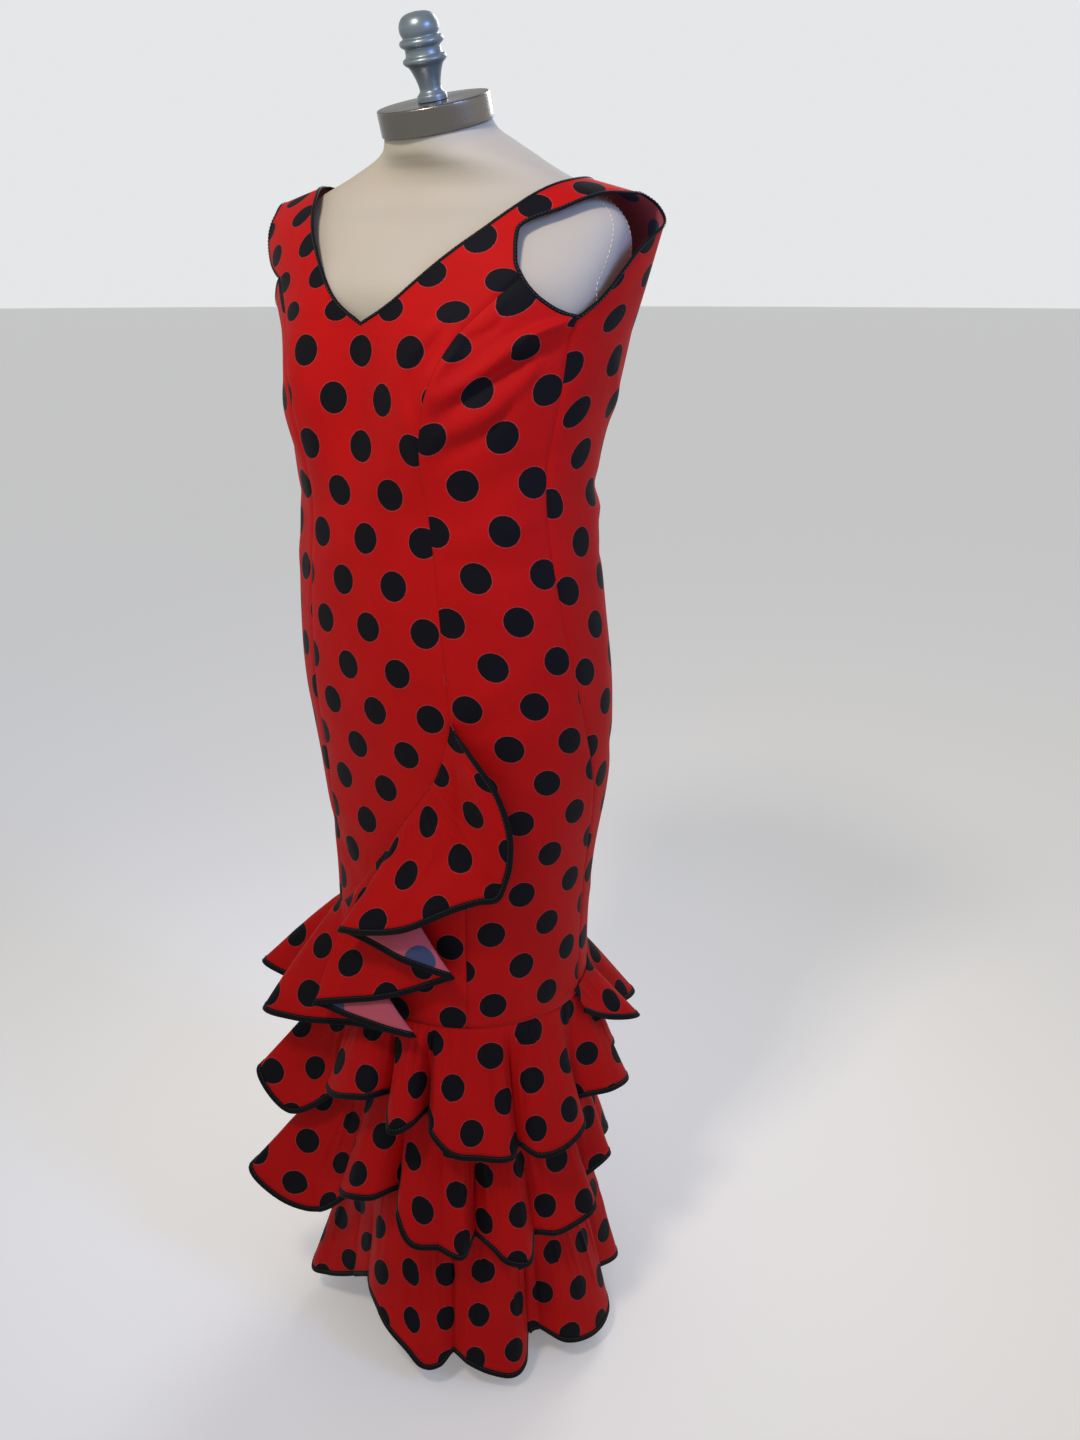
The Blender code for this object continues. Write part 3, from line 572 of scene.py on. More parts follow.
rightBackArmRows = (
    (0.12, 72.0),
    (0.206, 78.5),
    (0.320, 85.5),
    (0.487, 92.5),
    (0.650, 98.5),
    (0.820, 107.0),
    (0.930, 115.0),
    (1.0, 123.0),
)
frontArmRows = {1: leftFrontArmRows, -1: rightFrontArmRows}
backArmRows = {1: leftBackArmRows, -1: rightBackArmRows}
armDipRows = ((43.5, 0.364), (47.5, 0.302), (53.4, 0.233), (62.5, 0.160), (72.0, 0.12))

# Creases of the fitted cloth: ridges are positive. They drag from the bust to the underarm, and lie across the
# waist, the hips and the small of the back, softer on the sides that the photo hides.
# Columns: angle, level, angle, level, width, depth.
creaseRows = (
    (66.0, 1.230, 32.0, 1.172, 0.0068, 0.0100),
    (65.0, 1.212, 31.0, 1.146, 0.0080, -0.0062),
    (62.0, 1.194, 33.0, 1.124, 0.0090, 0.0056),
    (56.0, 1.168, 34.0, 1.104, 0.0090, -0.0046),
    (27.0, 1.222, 23.0, 1.150, 0.0090, -0.0056),
    (33.0, 1.214, 31.0, 1.160, 0.0080, 0.0040),
    (44.0, 1.240, 37.0, 1.204, 0.0060, -0.0022),
    (18.0, 1.150, 16.0, 1.070, 0.0140, -0.0016),
    (-14.0, 1.170, -20.0, 1.080, 0.0150, 0.0016),
    (71.0, 1.110, 42.0, 1.060, 0.0140, -0.0022),
    (68.0, 1.046, 30.0, 1.030, 0.0130, 0.0016),
    (64.0, 1.010, 24.0, 1.000, 0.0150, -0.0018),
    (20.0, 1.060, -18.0, 1.048, 0.0120, -0.0014),
    (10.0, 1.010, -26.0, 1.002, 0.0140, 0.0012),
    (33.0, 0.856, 66.0, 0.924, 0.0130, 0.0018),
    (34.0, 0.836, 74.0, 0.880, 0.0150, -0.0020),
    (26.0, 0.760, 10.0, 0.700, 0.0110, -0.0014),
    (-8.0, 0.690, -36.0, 0.742, 0.0150, 0.0018),
    (-16.0, 0.640, -52.0, 0.690, 0.0150, -0.0022),
    (60.0, 0.620, 84.0, 0.560, 0.0160, -0.0018),
    (44.0, 0.560, 70.0, 0.520, 0.0150, 0.0014),
    (-66.0, 1.220, -36.0, 1.124, 0.0120, 0.0036),
    (-70.0, 1.200, -37.0, 1.100, 0.0120, -0.0028),
    (-62.0, 1.060, -28.0, 1.044, 0.0150, -0.0018),
    (-70.0, 0.990, -40.0, 0.984, 0.0140, 0.0014),
    (-80.0, 0.860, -50.0, 0.800, 0.0160, -0.0018),
    (105.0, 1.080, 160.0, 1.052, 0.0140, -0.0034),
    (100.0, 1.046, 168.0, 1.026, 0.0120, 0.0026),
    (112.0, 1.004, 172.0, 0.998, 0.0150, -0.0026),
    (-104.0, 1.074, -158.0, 1.060, 0.0150, -0.0032),
    (-100.0, 1.030, -170.0, 1.036, 0.0130, 0.0024),
    (-118.0, 0.996, -166.0, 1.006, 0.0140, -0.0022),
    (96.0, 1.190, 128.0, 1.140, 0.0120, 0.0024),
    (-98.0, 1.196, -130.0, 1.150, 0.0130, 0.0022),
    (168.0, 1.248, 146.0, 1.196, 0.0110, -0.0018),
    (-166.0, 1.252, -148.0, 1.204, 0.0110, -0.0018),
    (110.0, 0.800, 150.0, 0.740, 0.0170, -0.0020),
    (-112.0, 0.760, -152.0, 0.700, 0.0170, -0.0020),
    (124.0, 0.600, 160.0, 0.560, 0.0160, 0.0018),
    (-128.0, 0.610, -160.0, 0.572, 0.0160, 0.0018),
)
girth = 0.165


def drape(angle, level):
    # How far the cloth stands off its cut surface: creases, and a slow unevenness.
    out = noise.noise(Vector((angle / 16.0, level * 7.0, 3.1))) * bodice["ease"]
    x = math.radians(angle) * girth
    for startAngle, startLevel, endAngle, endLevel, width, depth in creaseRows:
        if abs(angle - startAngle) > 90 and abs(angle - endAngle) > 90:
            continue
        fromX, toX = math.radians(startAngle) * girth, math.radians(endAngle) * girth
        alongX, alongZ = toX - fromX, endLevel - startLevel
        length = math.hypot(alongX, alongZ)
        share = ((x - fromX) * alongX + (level - startLevel) * alongZ) / (length * length)
        if share < -0.3 or share > 1.3:
            continue
        across = ((x - fromX) * alongZ - (level - startLevel) * alongX) / length
        bend = bodice["creaseBend"] * math.sin(share * 5.0 + startAngle)
        fade = easeBetween(-0.25, 0.3, share) * (1 - easeBetween(0.65, 1.3, share))
        out += depth * fade * math.exp(-((across + bend) / (width * (0.7 + 0.5 * share))) ** 2)
    # The zip keeps the cloth flat on both sides of the centre back.
    return out * easeBetween(*bodice["zipFlat"], 180.0 - abs(angle))


def clothPoint(angle, level, standOff=0.0):
    return torsoPoint(angle, level, standOff + drape(angle, level))


def spread(count):
    # Shares from 0 to 1, closer together at both ends, where the seams are.
    return [0.4 * step / count + 0.3 * (1 - math.cos(math.pi * step / count)) for step in range(count + 1)]


def bodyShares():
    return [step / bodice["bodyRows"] for step in range(bodice["bodyRows"])]


def riseTaus(low, extra):
    count = bodice["riseRows"]
    taus = [1 - (1 - step / count) ** 1.6 for step in range(count + 1)]
    return sorted({round(tau, 6) for tau in taus if tau > low + 0.004} | set(extra))


frontTaus = riseTaus(-1.0, (bodice["vTau"], bodice["armPointTau"]))
lowTaus = [tau for tau in frontTaus if tau <= bodice["armPointTau"]]
backTaus = [tau / bodice["armPointTau"] * bodice["underarmTau"] for tau in lowTaus]
backTaus += riseTaus(bodice["underarmTau"], (bodice["backNeckTau"],))


def bodyLevel(share, angle):
    low = skirtSeamLevel(angle)
    return low + (bustLevel - low) * share


def princessAngle(level):
    return angleOfX(smoothRead(princessRows, 1, level), level)


def panelRow(side, inner, outer, shares, levelAtAngle, innerSeam, outerSeam):
    row = []
    for share in shares:
        angle = inner + (outer - inner) * share
        dip = 0.0
        for edge, sewn in ((inner, innerSeam), (outer, outerSeam)):
            if sewn:
                away = math.radians(abs(angle - edge)) * girth / bodice["seamDipWidth"]
                dip -= bodice["seamDip"] * math.exp(-away * away)
        row.append(clothPoint(side * angle, levelAtAngle(side * angle), dip))
    return row


def frontHalf(side):
    shares = spread(bodice["frontColumns"])
    rows = []
    starts = []
    for share in bodyShares():
        outer = princessAngle(bodyLevel(share, side * 36))
        rows.append(panelRow(side, 0.0, outer, shares, lambda angle: bodyLevel(share, angle), False, True))
        starts.append(0.0)
    for tau in frontTaus:
        level = levelOf(tau)
        sewn = tau <= bodice["armPointTau"]
        outer = princessAngle(level) if sewn else smoothRead(frontArmRows[side], 1, tau)
        inner = 0.0
        if tau > bodice["vTau"]:
            inner = angleOfX(smoothRead(frontNeckRows, 1, tau), level)
        rows.append(panelRow(side, inner, outer, shares, lambda angle: level, False, sewn))
        starts.append(arcFrom(0.0, side * inner, level))
    return rows, starts


def arcFrom(start, end, level):
    points = [torsoPoint(start + (end - start) * step / 6, level) for step in range(7)]
    return sum((ahead - here).length for here, ahead in zip(points, points[1:]))


def sideFront(side):
    shares = spread(bodice["sideColumns"])
    rows = []
    for share in bodyShares():
        inner = princessAngle(bodyLevel(share, side * 36))
        outer = smoothRead(sideRows, 1, bodyLevel(share, side * 75))
        rows.append(panelRow(side, inner, outer, shares, lambda angle: bodyLevel(share, angle), True, True))
    firstDip, lastDip = armDipRows[0][0], armDipRows[-1][0]
    for tau in lowTaus:
        inner = princessAngle(levelOf(tau))
        lift = tau / bodice["armPointTau"]
        outer = smoothRead(sideRows, 1, levelOf(lift * bodice["underarmTau"]))

        def dippedLevel(angle):
            share = (abs(angle) - inner) / (outer - inner)
            return levelOf(lift * smoothRead(armDipRows, 1, firstDip + (lastDip - firstDip) * share))

        rows.append(panelRow(side, inner, outer, shares, dippedLevel, True, True))
    return rows


def backPanel(side):
    shares = spread(bodice["backColumns"])
    rows = []
    starts = []
    for share in bodyShares():
        outer = smoothRead(sideRows, 1, bodyLevel(share, side * 75))
        rows.append(panelRow(side, 180.0, outer, shares, lambda angle: bodyLevel(share, angle), True, True))
        starts.append(0.0)
    for tau in backTaus:
        level = levelOf(tau)
        sewn = tau <= bodice["underarmTau"] + 0.00001
        outer = smoothRead(sideRows, 1, level) if sewn else smoothRead(backArmRows[side], 1, tau)
        inner = 180.0
        if tau > bodice["backNeckTau"]:
            inner -= angleOfX(smoothRead(backNeckRows, 1, tau), level)
        closed = tau <= bodice["backNeckTau"]
        rows.append(panelRow(side, inner, outer, shares, lambda angle: level, closed, sewn))
        starts.append(arcFrom(180.0 * side, side * inner, level))
    return rows, starts


def panelFlat(rows, starts, way, anchor, twin=None):
    # The flat cut: lengths up the middle of the panel, and along each row from its anchor column. A twin is the
    # other half of a panel that is cut in one piece, so both halves climb alike.
    middle = len(rows[0]) // 2
    flat = []
    up = 0.0
    for index, row in enumerate(rows):
        if index:
            climbs = [(half[index][middle] - half[index - 1][middle]).length for half in (rows, twin or rows)]
            up += sum(climbs) / 2
        across = [0.0]
        for here, ahead in zip(row, row[1:]):
            across.append(across[-1] + (ahead - here).length)
        flat.append([(way * (starts[index] + value - across[anchor]), up) for value in across])
    return flat


def declareSheet(flat):
    across = [place[0] for row in flat for place in row]
    up = [place[1] for row in flat for place in row]
    size = (max(across) - min(across), max(up) - min(up))
    area = min(flatArea(flat), size[0] * size[1])


# Where the print lies on each panel: start moves it on the cut in metres, turn is in degrees.
printPlaces = {
    "frontPanel": {"start": (0.0180, 0.0342), "turn": -1.0},
    "leftSideFront": {"start": (0.0480, 0.0605), "turn": -1.0},
    "rightSideFront": {"start": (0.0300, 0.0200), "turn": 1.0},
    "leftBack": {"start": (0.0360, 0.0132), "turn": -3.0},
    "rightBack": {"start": (0.0350, 0.0200), "turn": 2.0},
    "underSkirt": {"start": (0.0, 0.0), "turn": 0.0},
    "cascadeFlounce": {"start": (0.0260, 0.0158), "turn": -90.0},
    "kneeFlounce": {"start": (0.0620, 0.0316), "turn": -63.0},
    "calfFlounce": {"start": (0.0, 0.0184), "turn": -6.0},
    "bottomFlounce": {"start": (0.0240, 0.0605), "turn": -63.0},
}


halves = {side: frontHalf(side) for side in (1, -1)}
leftFlat = panelFlat(*halves[1], 1, 0, halves[-1][0])
rightFlat = panelFlat(*halves[-1], -1, 0, halves[1][0])
vIndex = len(bodyShares()) + frontTaus.index(bodice["vTau"])


def buildFrontPanel():
    # Two halves that share the centre line up to the foot of the V, then part into the two straps.
    sheet = bmesh.new()
    layer = sheet.loops.layers.uv.new("clothUv")
    for side, flat in ((1, leftFlat), (-1, rightFlat)):
        layGrid(sheet, layer, halves[side][0], flat, mirrored=side < 0)
    bmesh.ops.remove_doubles(sheet, verts=sheet.verts, dist=0.00002)
    return finishSheet("frontPanel", sheet)


def buildPanel(name, node, rows, flat, facing):
    level = 0.8
    outward = (40, len(rows[0]) // 2, torsoPoint(facing, level) - Vector((0, 0, level)))
    piece = clothSheet(name, rows, flat, outward)
    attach(piece, "root")
    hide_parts(node)
    declareSheet(flat)


frontPanel = buildFrontPanel()
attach(frontPanel, "root")
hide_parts("front_panel")
sides = {}
backs = {}
for side, word in ((1, "left"), (-1, "right")):
    sides[side] = sideFront(side)
    flat = panelFlat(sides[side], [0.0] * len(sides[side]), side, len(sides[side][0]) // 2)
    buildPanel(word + "SideFront", word + "_side_front", sides[side], flat, side * 60)
    backs[side], starts = backPanel(side)
    flat = panelFlat(backs[side], starts, -side, 0)
    buildPanel(word + "Back", word + "_back", backs[side], flat, side * 140)
print("bodice panels ready")


# Bindings are a rounded tape swept along an edge, with a row of stitches.
tapeSettings = {
    "neck": {"width": 0.0028, "thickness": 0.0020, "stitchOut": 0.0008, "stitchLift": 0.0014},
    "hem": {"width": 0.0060, "thickness": 0.0022, "stitchOut": 0.0004, "stitchLift": 0.0012},
    "lap": 0.0016,            # how far the tape covers the cloth
}


def edgeFrame(edges, index, closedRound=False):
    # One way leads out of the cloth at its edge, the other stands square on the cloth.
    last = len(edges) - 1
    after = edges[(index + 1) % len(edges) if closedRound else min(index + 1, last)][0]
    before = edges[index - 1 if closedRound else max(index - 1, 0)][0]
    along = (after - before).normalized()
    away = edges[index][0] - edges[index][1]
    away -= along * away.dot(along)
    away.normalize()
    return away, along.cross(away).normalized()


def tapeAlong(name, edges, width, thickness, closedRound):
    # Each entry is an edge point, a point of the cloth inside it, and a share of the width.
    count = len(edges)
    lap = tapeSettings["lap"]
    sections = []
    for index, (edge, inside, share) in enumerate(edges):
        away, square = edgeFrame(edges, index, closedRound)
        reach = width * share
        half = thickness / 2 * min(1.0, 0.4 + share)
        # Round the fold, and step down to the cloth at the inner edge.
        rising = [(-lap, 0.35), (-lap * 0.4, 0.86), (reach * 0.25, 0.80), (reach * 0.75, 0.92)]
        rising.append((reach - half * 0.4, 0.75))
        outline = rising + [(reach, 0.0)] + [(out, -across) for out, across in reversed(rising)]
        sections.append([edge + away * out + square * (half * across) for out, across in outline])
    mesh = bpy.data.meshes.new(name)
    tape = bmesh.new()
    layer = tape.loops.layers.uv.new("clothUv")
    rings = [[tape.verts.new(point) for point in section] for section in sections]
    around = len(rings[0])
    run = 0.0
    for index in range(count if closedRound else count - 1):
        ahead = (index + 1) % count
        step = (edges[ahead][0] - edges[index][0]).length
        for corner in range(around):
            beside = (corner + 1) % around
            corners = (rings[index][corner], rings[ahead][corner], rings[ahead][beside], rings[index][beside])
            face = tape.faces.new(corners)
            face.smooth = True
            low, high = corner * width / 5, (corner + 1) * width / 5
            places = ((run, low), (run + step, low), (run + step, high), (run, high))
            for loop, place in zip(face.loops, places):
                loop[layer].uv = place
        run += step
    if not closedRound:
        tape.faces.new(rings[0])
        tape.faces.new(rings[-1])
    bmesh.ops.remove_doubles(tape, verts=tape.verts, dist=0.00001)
    bmesh.ops.recalc_face_normals(tape, faces=tape.faces)
    tape.to_mesh(mesh)
    tape.free()
    piece = linkPiece(name, mesh, [blackTape])
    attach(piece, "root")
    return piece


stitchSettings = {
    "pitch": 0.0036,
    "length": 0.0026,
    "thickness": 0.00045,
}


def stitchTree(thread):
    # Thread stitches set along a line, each a small capsule that lies in the line's own direction.
    tree = bpy.data.node_groups.new("stitches_in_" + thread.name, "GeometryNodeTree")
    tree.interface.new_socket("Geometry", in_out="INPUT", socket_type="NodeSocketGeometry")
    for label in ("Pitch", "Length", "Thickness"):
        socket = tree.interface.new_socket(label, in_out="INPUT", socket_type="NodeSocketFloat")
        socket.default_value = stitchSettings[label.lower()]
    tree.interface.new_socket("Geometry", in_out="OUTPUT", socket_type="NodeSocketGeometry")
    given = addNode(tree, "NodeGroupInput")
    line = addNode(tree, "GeometryNodeMeshToCurve", [("Mesh", given.outputs["Geometry"])])
    spaced = addNode(
        tree,
        "GeometryNodeResampleCurve",
        [("Curve", line.outputs[0]), ("Length", given.outputs["Pitch"])],
        mode="LENGTH",
    )
    lying = addNode(
        tree,
        "FunctionNodeAlignRotationToVector",
        [("Vector", addNode(tree, "GeometryNodeInputTangent").outputs[0])],
        axis="Z",
    )
    half = addNode(tree, "ShaderNodeMath", [(0, given.outputs["Length"]), (1, 0.5)], operation="MULTIPLY")
    size = addNode(
        tree,
        "ShaderNodeCombineXYZ",
        [("X", given.outputs["Thickness"]), ("Y", given.outputs["Thickness"]), ("Z", half.outputs[0])],
    )
    capsule = addNode(tree, "GeometryNodeMeshUVSphere", [("Segments", 6), ("Rings", 5), ("Radius", 1.0)])
    placed = addNode(
        tree,
        "GeometryNodeInstanceOnPoints",
        [("Points", spaced.outputs[0]), ("Instance", capsule.outputs["Mesh"]), ("Rotation", lying.outputs[0]),
         ("Scale", size.outputs[0])],
    )
    solid = addNode(tree, "GeometryNodeRealizeInstances", [("Geometry", placed.outputs[0])])
    finished = addNode(tree, "GeometryNodeSetMaterial", [("Geometry", solid.outputs[0]), ("Material", thread)])
    addNode(tree, "NodeGroupOutput", [(0, finished.outputs[0])])
    return tree


def stitchRun(name, path, tree, sizes=stitchSettings, closedRound=False):
    mesh = bpy.data.meshes.new(name)
    links = [(index, index + 1) for index in range(len(path) - 1)]
    if closedRound:
        links.append((len(path) - 1, 0))
    mesh.from_pydata(path, links, [])
    piece = bpy.data.objects.new(name, mesh)
    bpy.context.scene.collection.objects.link(piece)
    sewing = piece.modifiers.new("stitches", "NODES")
    sewing.node_group = tree
    for item in tree.interface.items_tree:
        if item.in_out == "INPUT" and item.name.lower() in sizes:
            sewing[item.identifier] = sizes[item.name.lower()]
    plainMesh(piece)
    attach(piece, "root")
    return piece


def stitchPath(edges, out, lift):
    # A line on the tape's right side, a little inside its fold.
    path = []
    for index, (edge, inside, share) in enumerate(edges):
        away, square = edgeFrame(edges, index)
        if square.dot(Vector((edge.x, edge.y, 0.0))) < 0:
            square.negate()
        path.append(edge + away * (out * share) + square * lift)
    return path


def bindEdge(stem, nodeStem, edges, tape, closedRound):
    binding = tapeAlong(stem + "Binding", edges, tape["width"], tape["thickness"], closedRound)
    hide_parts(nodeStem + "_binding")
    path = stitchPath(edges, tape["stitchOut"], tape["stitchLift"])
    stitchRun(stem + "Stitches", path, blackStitches, closedRound=closedRound)
    return binding


blackStitches = stitchTree(blackThread)
creamStitches = stitchTree(creamThread)
insideAngle = 4.0
insideDrop = 0.010


def necklineEdges():
    edges = []
    backNeckIndex = len(bodyShares()) + backTaus.index(bodice["backNeckTau"])
    for side in (-1, 1):
        front = halves[side][0]
        back = backs[side]
        climbing = [(row[0], row[2], 1.0) for row in front[vIndex + 1:]]
        falling = []
        for tau, row in zip(reversed(backTaus[:-1]), reversed(back[:-1])):
            if tau <= bodice["backNeckTau"]:
                break
            level = levelOf(tau)
            edgeAngle = 180.0 - angleOfX(smoothRead(backNeckRows, 1, tau), level)
            falling.append((row[0], torsoPoint(side * (edgeAngle - insideAngle), level - insideDrop), 1.0))
        falling.append((back[backNeckIndex][0], back[backNeckIndex - 2][0], 1.0))
        run = climbing + falling
        if side < 0:
            run.reverse()
            edges += run
            bottom = halves[1][0][vIndex][0]
            edges.append((bottom, halves[1][0][vIndex - 2][0], 1.0))
        else:
            edges += run
    return edges


def armholeEdges(side):
    front = halves[side][0]
    back = backs[side]
    first = len(bodyShares()) + frontTaus.index(bodice["armPointTau"])
    edges = [(row[-1], row[-3], 1.0) for row in front[first + 1:]]
    for tau, row in zip(reversed(backTaus[:-1]), reversed(back[:-1])):
        if tau <= bodice["underarmTau"] + 0.00001:
            break
        inside = row[-3]
        if tau < bodice["underarmTurnTau"]:
            inside = torsoPoint(side * smoothRead(backArmRows[side], 1, tau), levelOf(tau) - insideDrop)
        edges.append((row[-1], inside, 1.0))
    top, below = sides[side][-1], sides[side][-3]
    for column in range(len(top) - 1, -1, -2):
        edges.append((top[column], below[column], 1.0))
    return edges


bindEdge("neckline", "neckline", necklineEdges(), tapeSettings["neck"], False)
for side, word in ((1, "left"), (-1, "right")):
    bindEdge(word + "Armhole", word + "_armhole", armholeEdges(side), tapeSettings["neck"], True)
declareSheet(rightFlat[::-1] + leftFlat)
print("bindings of the neck and the armholes ready")


underSkirt = {"bottom": 0.100, "lap": 0.012, "inset": 0.0027, "columns": 120, "rows": 40}


def buildUnderSkirt():
    points = []
    for row in range(underSkirt["rows"] + 1):
        share = row / underSkirt["rows"]
        line = []
        for column in range(underSkirt["columns"]):
            angle = 360.0 * column / underSkirt["columns"]
            top = skirtSeamLevel(angle) + underSkirt["lap"]
            height = underSkirt["bottom"] + (top - underSkirt["bottom"]) * share
            turned = math.radians(angle)
            ease = noise.noise(Vector((math.cos(turned) * 2, math.sin(turned) * 2, height * 9)))
            line.append(torsoPoint(angle, height, -underSkirt["inset"] + 0.0008 * ease))
        points.append(line)
    flat = []
    up = 0.0
    for index, row in enumerate(points):
        if index:
            up += (row[0] - points[index - 1][0]).length
        across = [0.0]
        for here, ahead in zip(row, row[1:] + row[:1]):
            across.append(across[-1] + (ahead - here).length)
        flat.append([(value, up) for value in across])
    piece = clothSheet("underSkirt", points, flat, (3, 0, Vector((0.0, -1.0, 0.0))), closedRound=True)
    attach(piece, "root")
    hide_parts("under_skirt")
    declareSheet(flat)


buildUnderSkirt()
# Each row of a flounce is one crest or valley of its hem. The cascade runs down the front in a zigzag, so its
# layers lie on each other.
# Columns: seamAngle, seamHeight, hemAngle, standOff, height.
cascadeRows = (
    (30.8, 0.849, 32.2, 0.007, 0.836),
    (29.2, 0.829, 39.0, 0.019, 0.811),
    (27.2, 0.809, 45.8, 0.028, 0.778),
    (25.0, 0.793, 50.0, 0.033, 0.736),
    (23.2, 0.781, 50.9, 0.035, 0.700),
    (21.6, 0.773, 50.0, 0.036, 0.680),
    (20.6, 0.768, 47.4, 0.038, 0.660),
    (19.0, 0.762, 42.0, 0.039, 0.657),
    (16.8, 0.752, 32.0, 0.042, 0.646),
    (13.5, 0.738, 18.0, 0.049, 0.622),
    (11.0, 0.727, 5.0, 0.056, 0.610),
    (9.0, 0.718, -3.0, 0.058, 0.604),
    (6.6, 0.707, -4.0, 0.048, 0.598),
    (4.6, 0.697, 3.0, 0.040, 0.590),
    (3.2, 0.690, 16.0, 0.036, 0.578),
    (1.8, 0.684, 28.0, 0.032, 0.569),
    (0.0, 0.676, 34.0, 0.025, 0.560),
    (-2.6, 0.666, 29.0, 0.018, 0.550),
    (-6.5, 0.652, 15.0, 0.021, 0.530),
    (-10.5, 0.638, -3.0, 0.045, 0.511),
    (-14.0, 0.627, -13.0, 0.067, 0.501),
    (-17.0, 0.618, -11.0, 0.058, 0.496),
    (-19.5, 0.611, 0.0, 0.045, 0.491),
    (-22.0, 0.605, 12.0, 0.036, 0.487),
    (-25.0, 0.599, 19.0, 0.027, 0.481),
    (-28.5, 0.593, 11.0, 0.019, 0.474),
    (-33.0, 0.587, -8.0, 0.030, 0.466),
    (-38.0, 0.581, -26.0, 0.074, 0.458),
    (-43.5, 0.576, -37.0, 0.098, 0.454),
    (-49.0, 0.572, -44.0, 0.070, 0.456),
    (-55.0, 0.568, -50.0, 0.068, 0.461),
    (-63.0, 0.564, -58.0, 0.106, 0.472),
    (-73.0, 0.558, -72.0, 0.046, 0.447),
    (-86.0, 0.551, -86.0, 0.098, 0.436),
    (-102.0, 0.544, -102.0, 0.036, 0.430),
    (-119.0, 0.537, -119.0, 0.096, 0.418),
    (-136.0, 0.530, -136.0, 0.036, 0.418),
    (-152.0, 0.523, -152.0, 0.094, 0.408),
    (-170.0, 0.516, -170.0, 0.036, 0.408),
    (-183.0, 0.511, -183.0, 0.092, 0.400),
    (-197.0, 0.506, -197.0, 0.036, 0.404),
    (-213.0, 0.501, -213.0, 0.078, 0.402),
    (-229.0, 0.496, -229.0, 0.036, 0.412),
    (-241.0, 0.492, -240.0, 0.066, 0.424),
    (-253.0, 0.488, -252.0, 0.036, 0.440),
    (-261.0, 0.485, -260.0, 0.016, 0.458),
)
# Columns: seamAngle, hemAngle, standOff, height.
kneeRows = (
    (-170, -170, 0.020, 0.335),
    (-152, -152, 0.080, 0.325),
    (-136, -136, 0.022, 0.335),
    (-119, -119, 0.085, 0.328),
    (-102, -102, 0.022, 0.335),
    (-85, -83, 0.085, 0.330),
    (-69, -68, 0.025, 0.338),
    (-54, -50, 0.090, 0.355),
    (-45, -43, 0.112, 0.350),
    (-37, -36, 0.082, 0.308),
    (-29, -27, 0.040, 0.340),
    (-22, -20, 0.048, 0.370),
    (-13, -9, 0.062, 0.384),
    (-4, 1, 0.056, 0.396),
    (2, 6, 0.028, 0.392),
    (7, 9, 0.046, 0.380),
    (12, 13, 0.062, 0.372),
    (17, 18, 0.046, 0.376),
    (21, 21, 0.014, 0.375),
    (26, 25, 0.040, 0.366),
    (33, 33, 0.050, 0.348),
    (43, 44, 0.046, 0.339),
    (52, 55, 0.042, 0.332),
    (58, 60, 0.028, 0.335),
    (65, 66, 0.046, 0.327),
    (75, 76, 0.050, 0.326),
    (85, 87, 0.044, 0.333),
    (93, 94, 0.020, 0.345),
    (104, 106, 0.046, 0.345),
    (114, 118, 0.056, 0.340),
    (130, 130, 0.020, 0.335),
    (147, 147, 0.052, 0.330),
    (163, 163, 0.022, 0.335),
    (177, 177, 0.078, 0.328),
)
calfRows = (
    (-163, -163, 0.022, 0.205),
    (-146, -146, 0.080, 0.198),
    (-129, -129, 0.022, 0.205),
    (-112, -112, 0.085, 0.200),
    (-95, -95, 0.024, 0.208),
    (-79, -77, 0.092, 0.205),
    (-64, -62, 0.030, 0.212),
    (-52, -48, 0.100, 0.222),
    (-43, -41, 0.130, 0.218),
    (-36, -35, 0.098, 0.186),
    (-28, -29, 0.058, 0.174),
    (-21, -22, 0.032, 0.200),
    (-14, -15, 0.046, 0.232),
    (-7, -6, 0.060, 0.250),
    (0, 2, 0.052, 0.258),
    (6, 7, 0.024, 0.258),
    (11, 12, 0.044, 0.244),
    (17, 18, 0.052, 0.219),
    (26, 27, 0.045, 0.213),
    (35, 36, 0.048, 0.206),
    (41, 41, 0.020, 0.212),
    (47, 48, 0.036, 0.207),
    (53, 53, 0.048, 0.195),
    (59, 61, 0.048, 0.187),
    (65, 67, 0.028, 0.203),
    (75, 76, 0.040, 0.202),
    (87, 91, 0.048, 0.209),
    (98, 99, 0.020, 0.222),
    (110, 113, 0.036, 0.232),
    (128, 128, 0.016, 0.215),
    (145, 145, 0.040, 0.204),
    (162, 162, 0.022, 0.205),
    (180, 180, 0.078, 0.198),
)
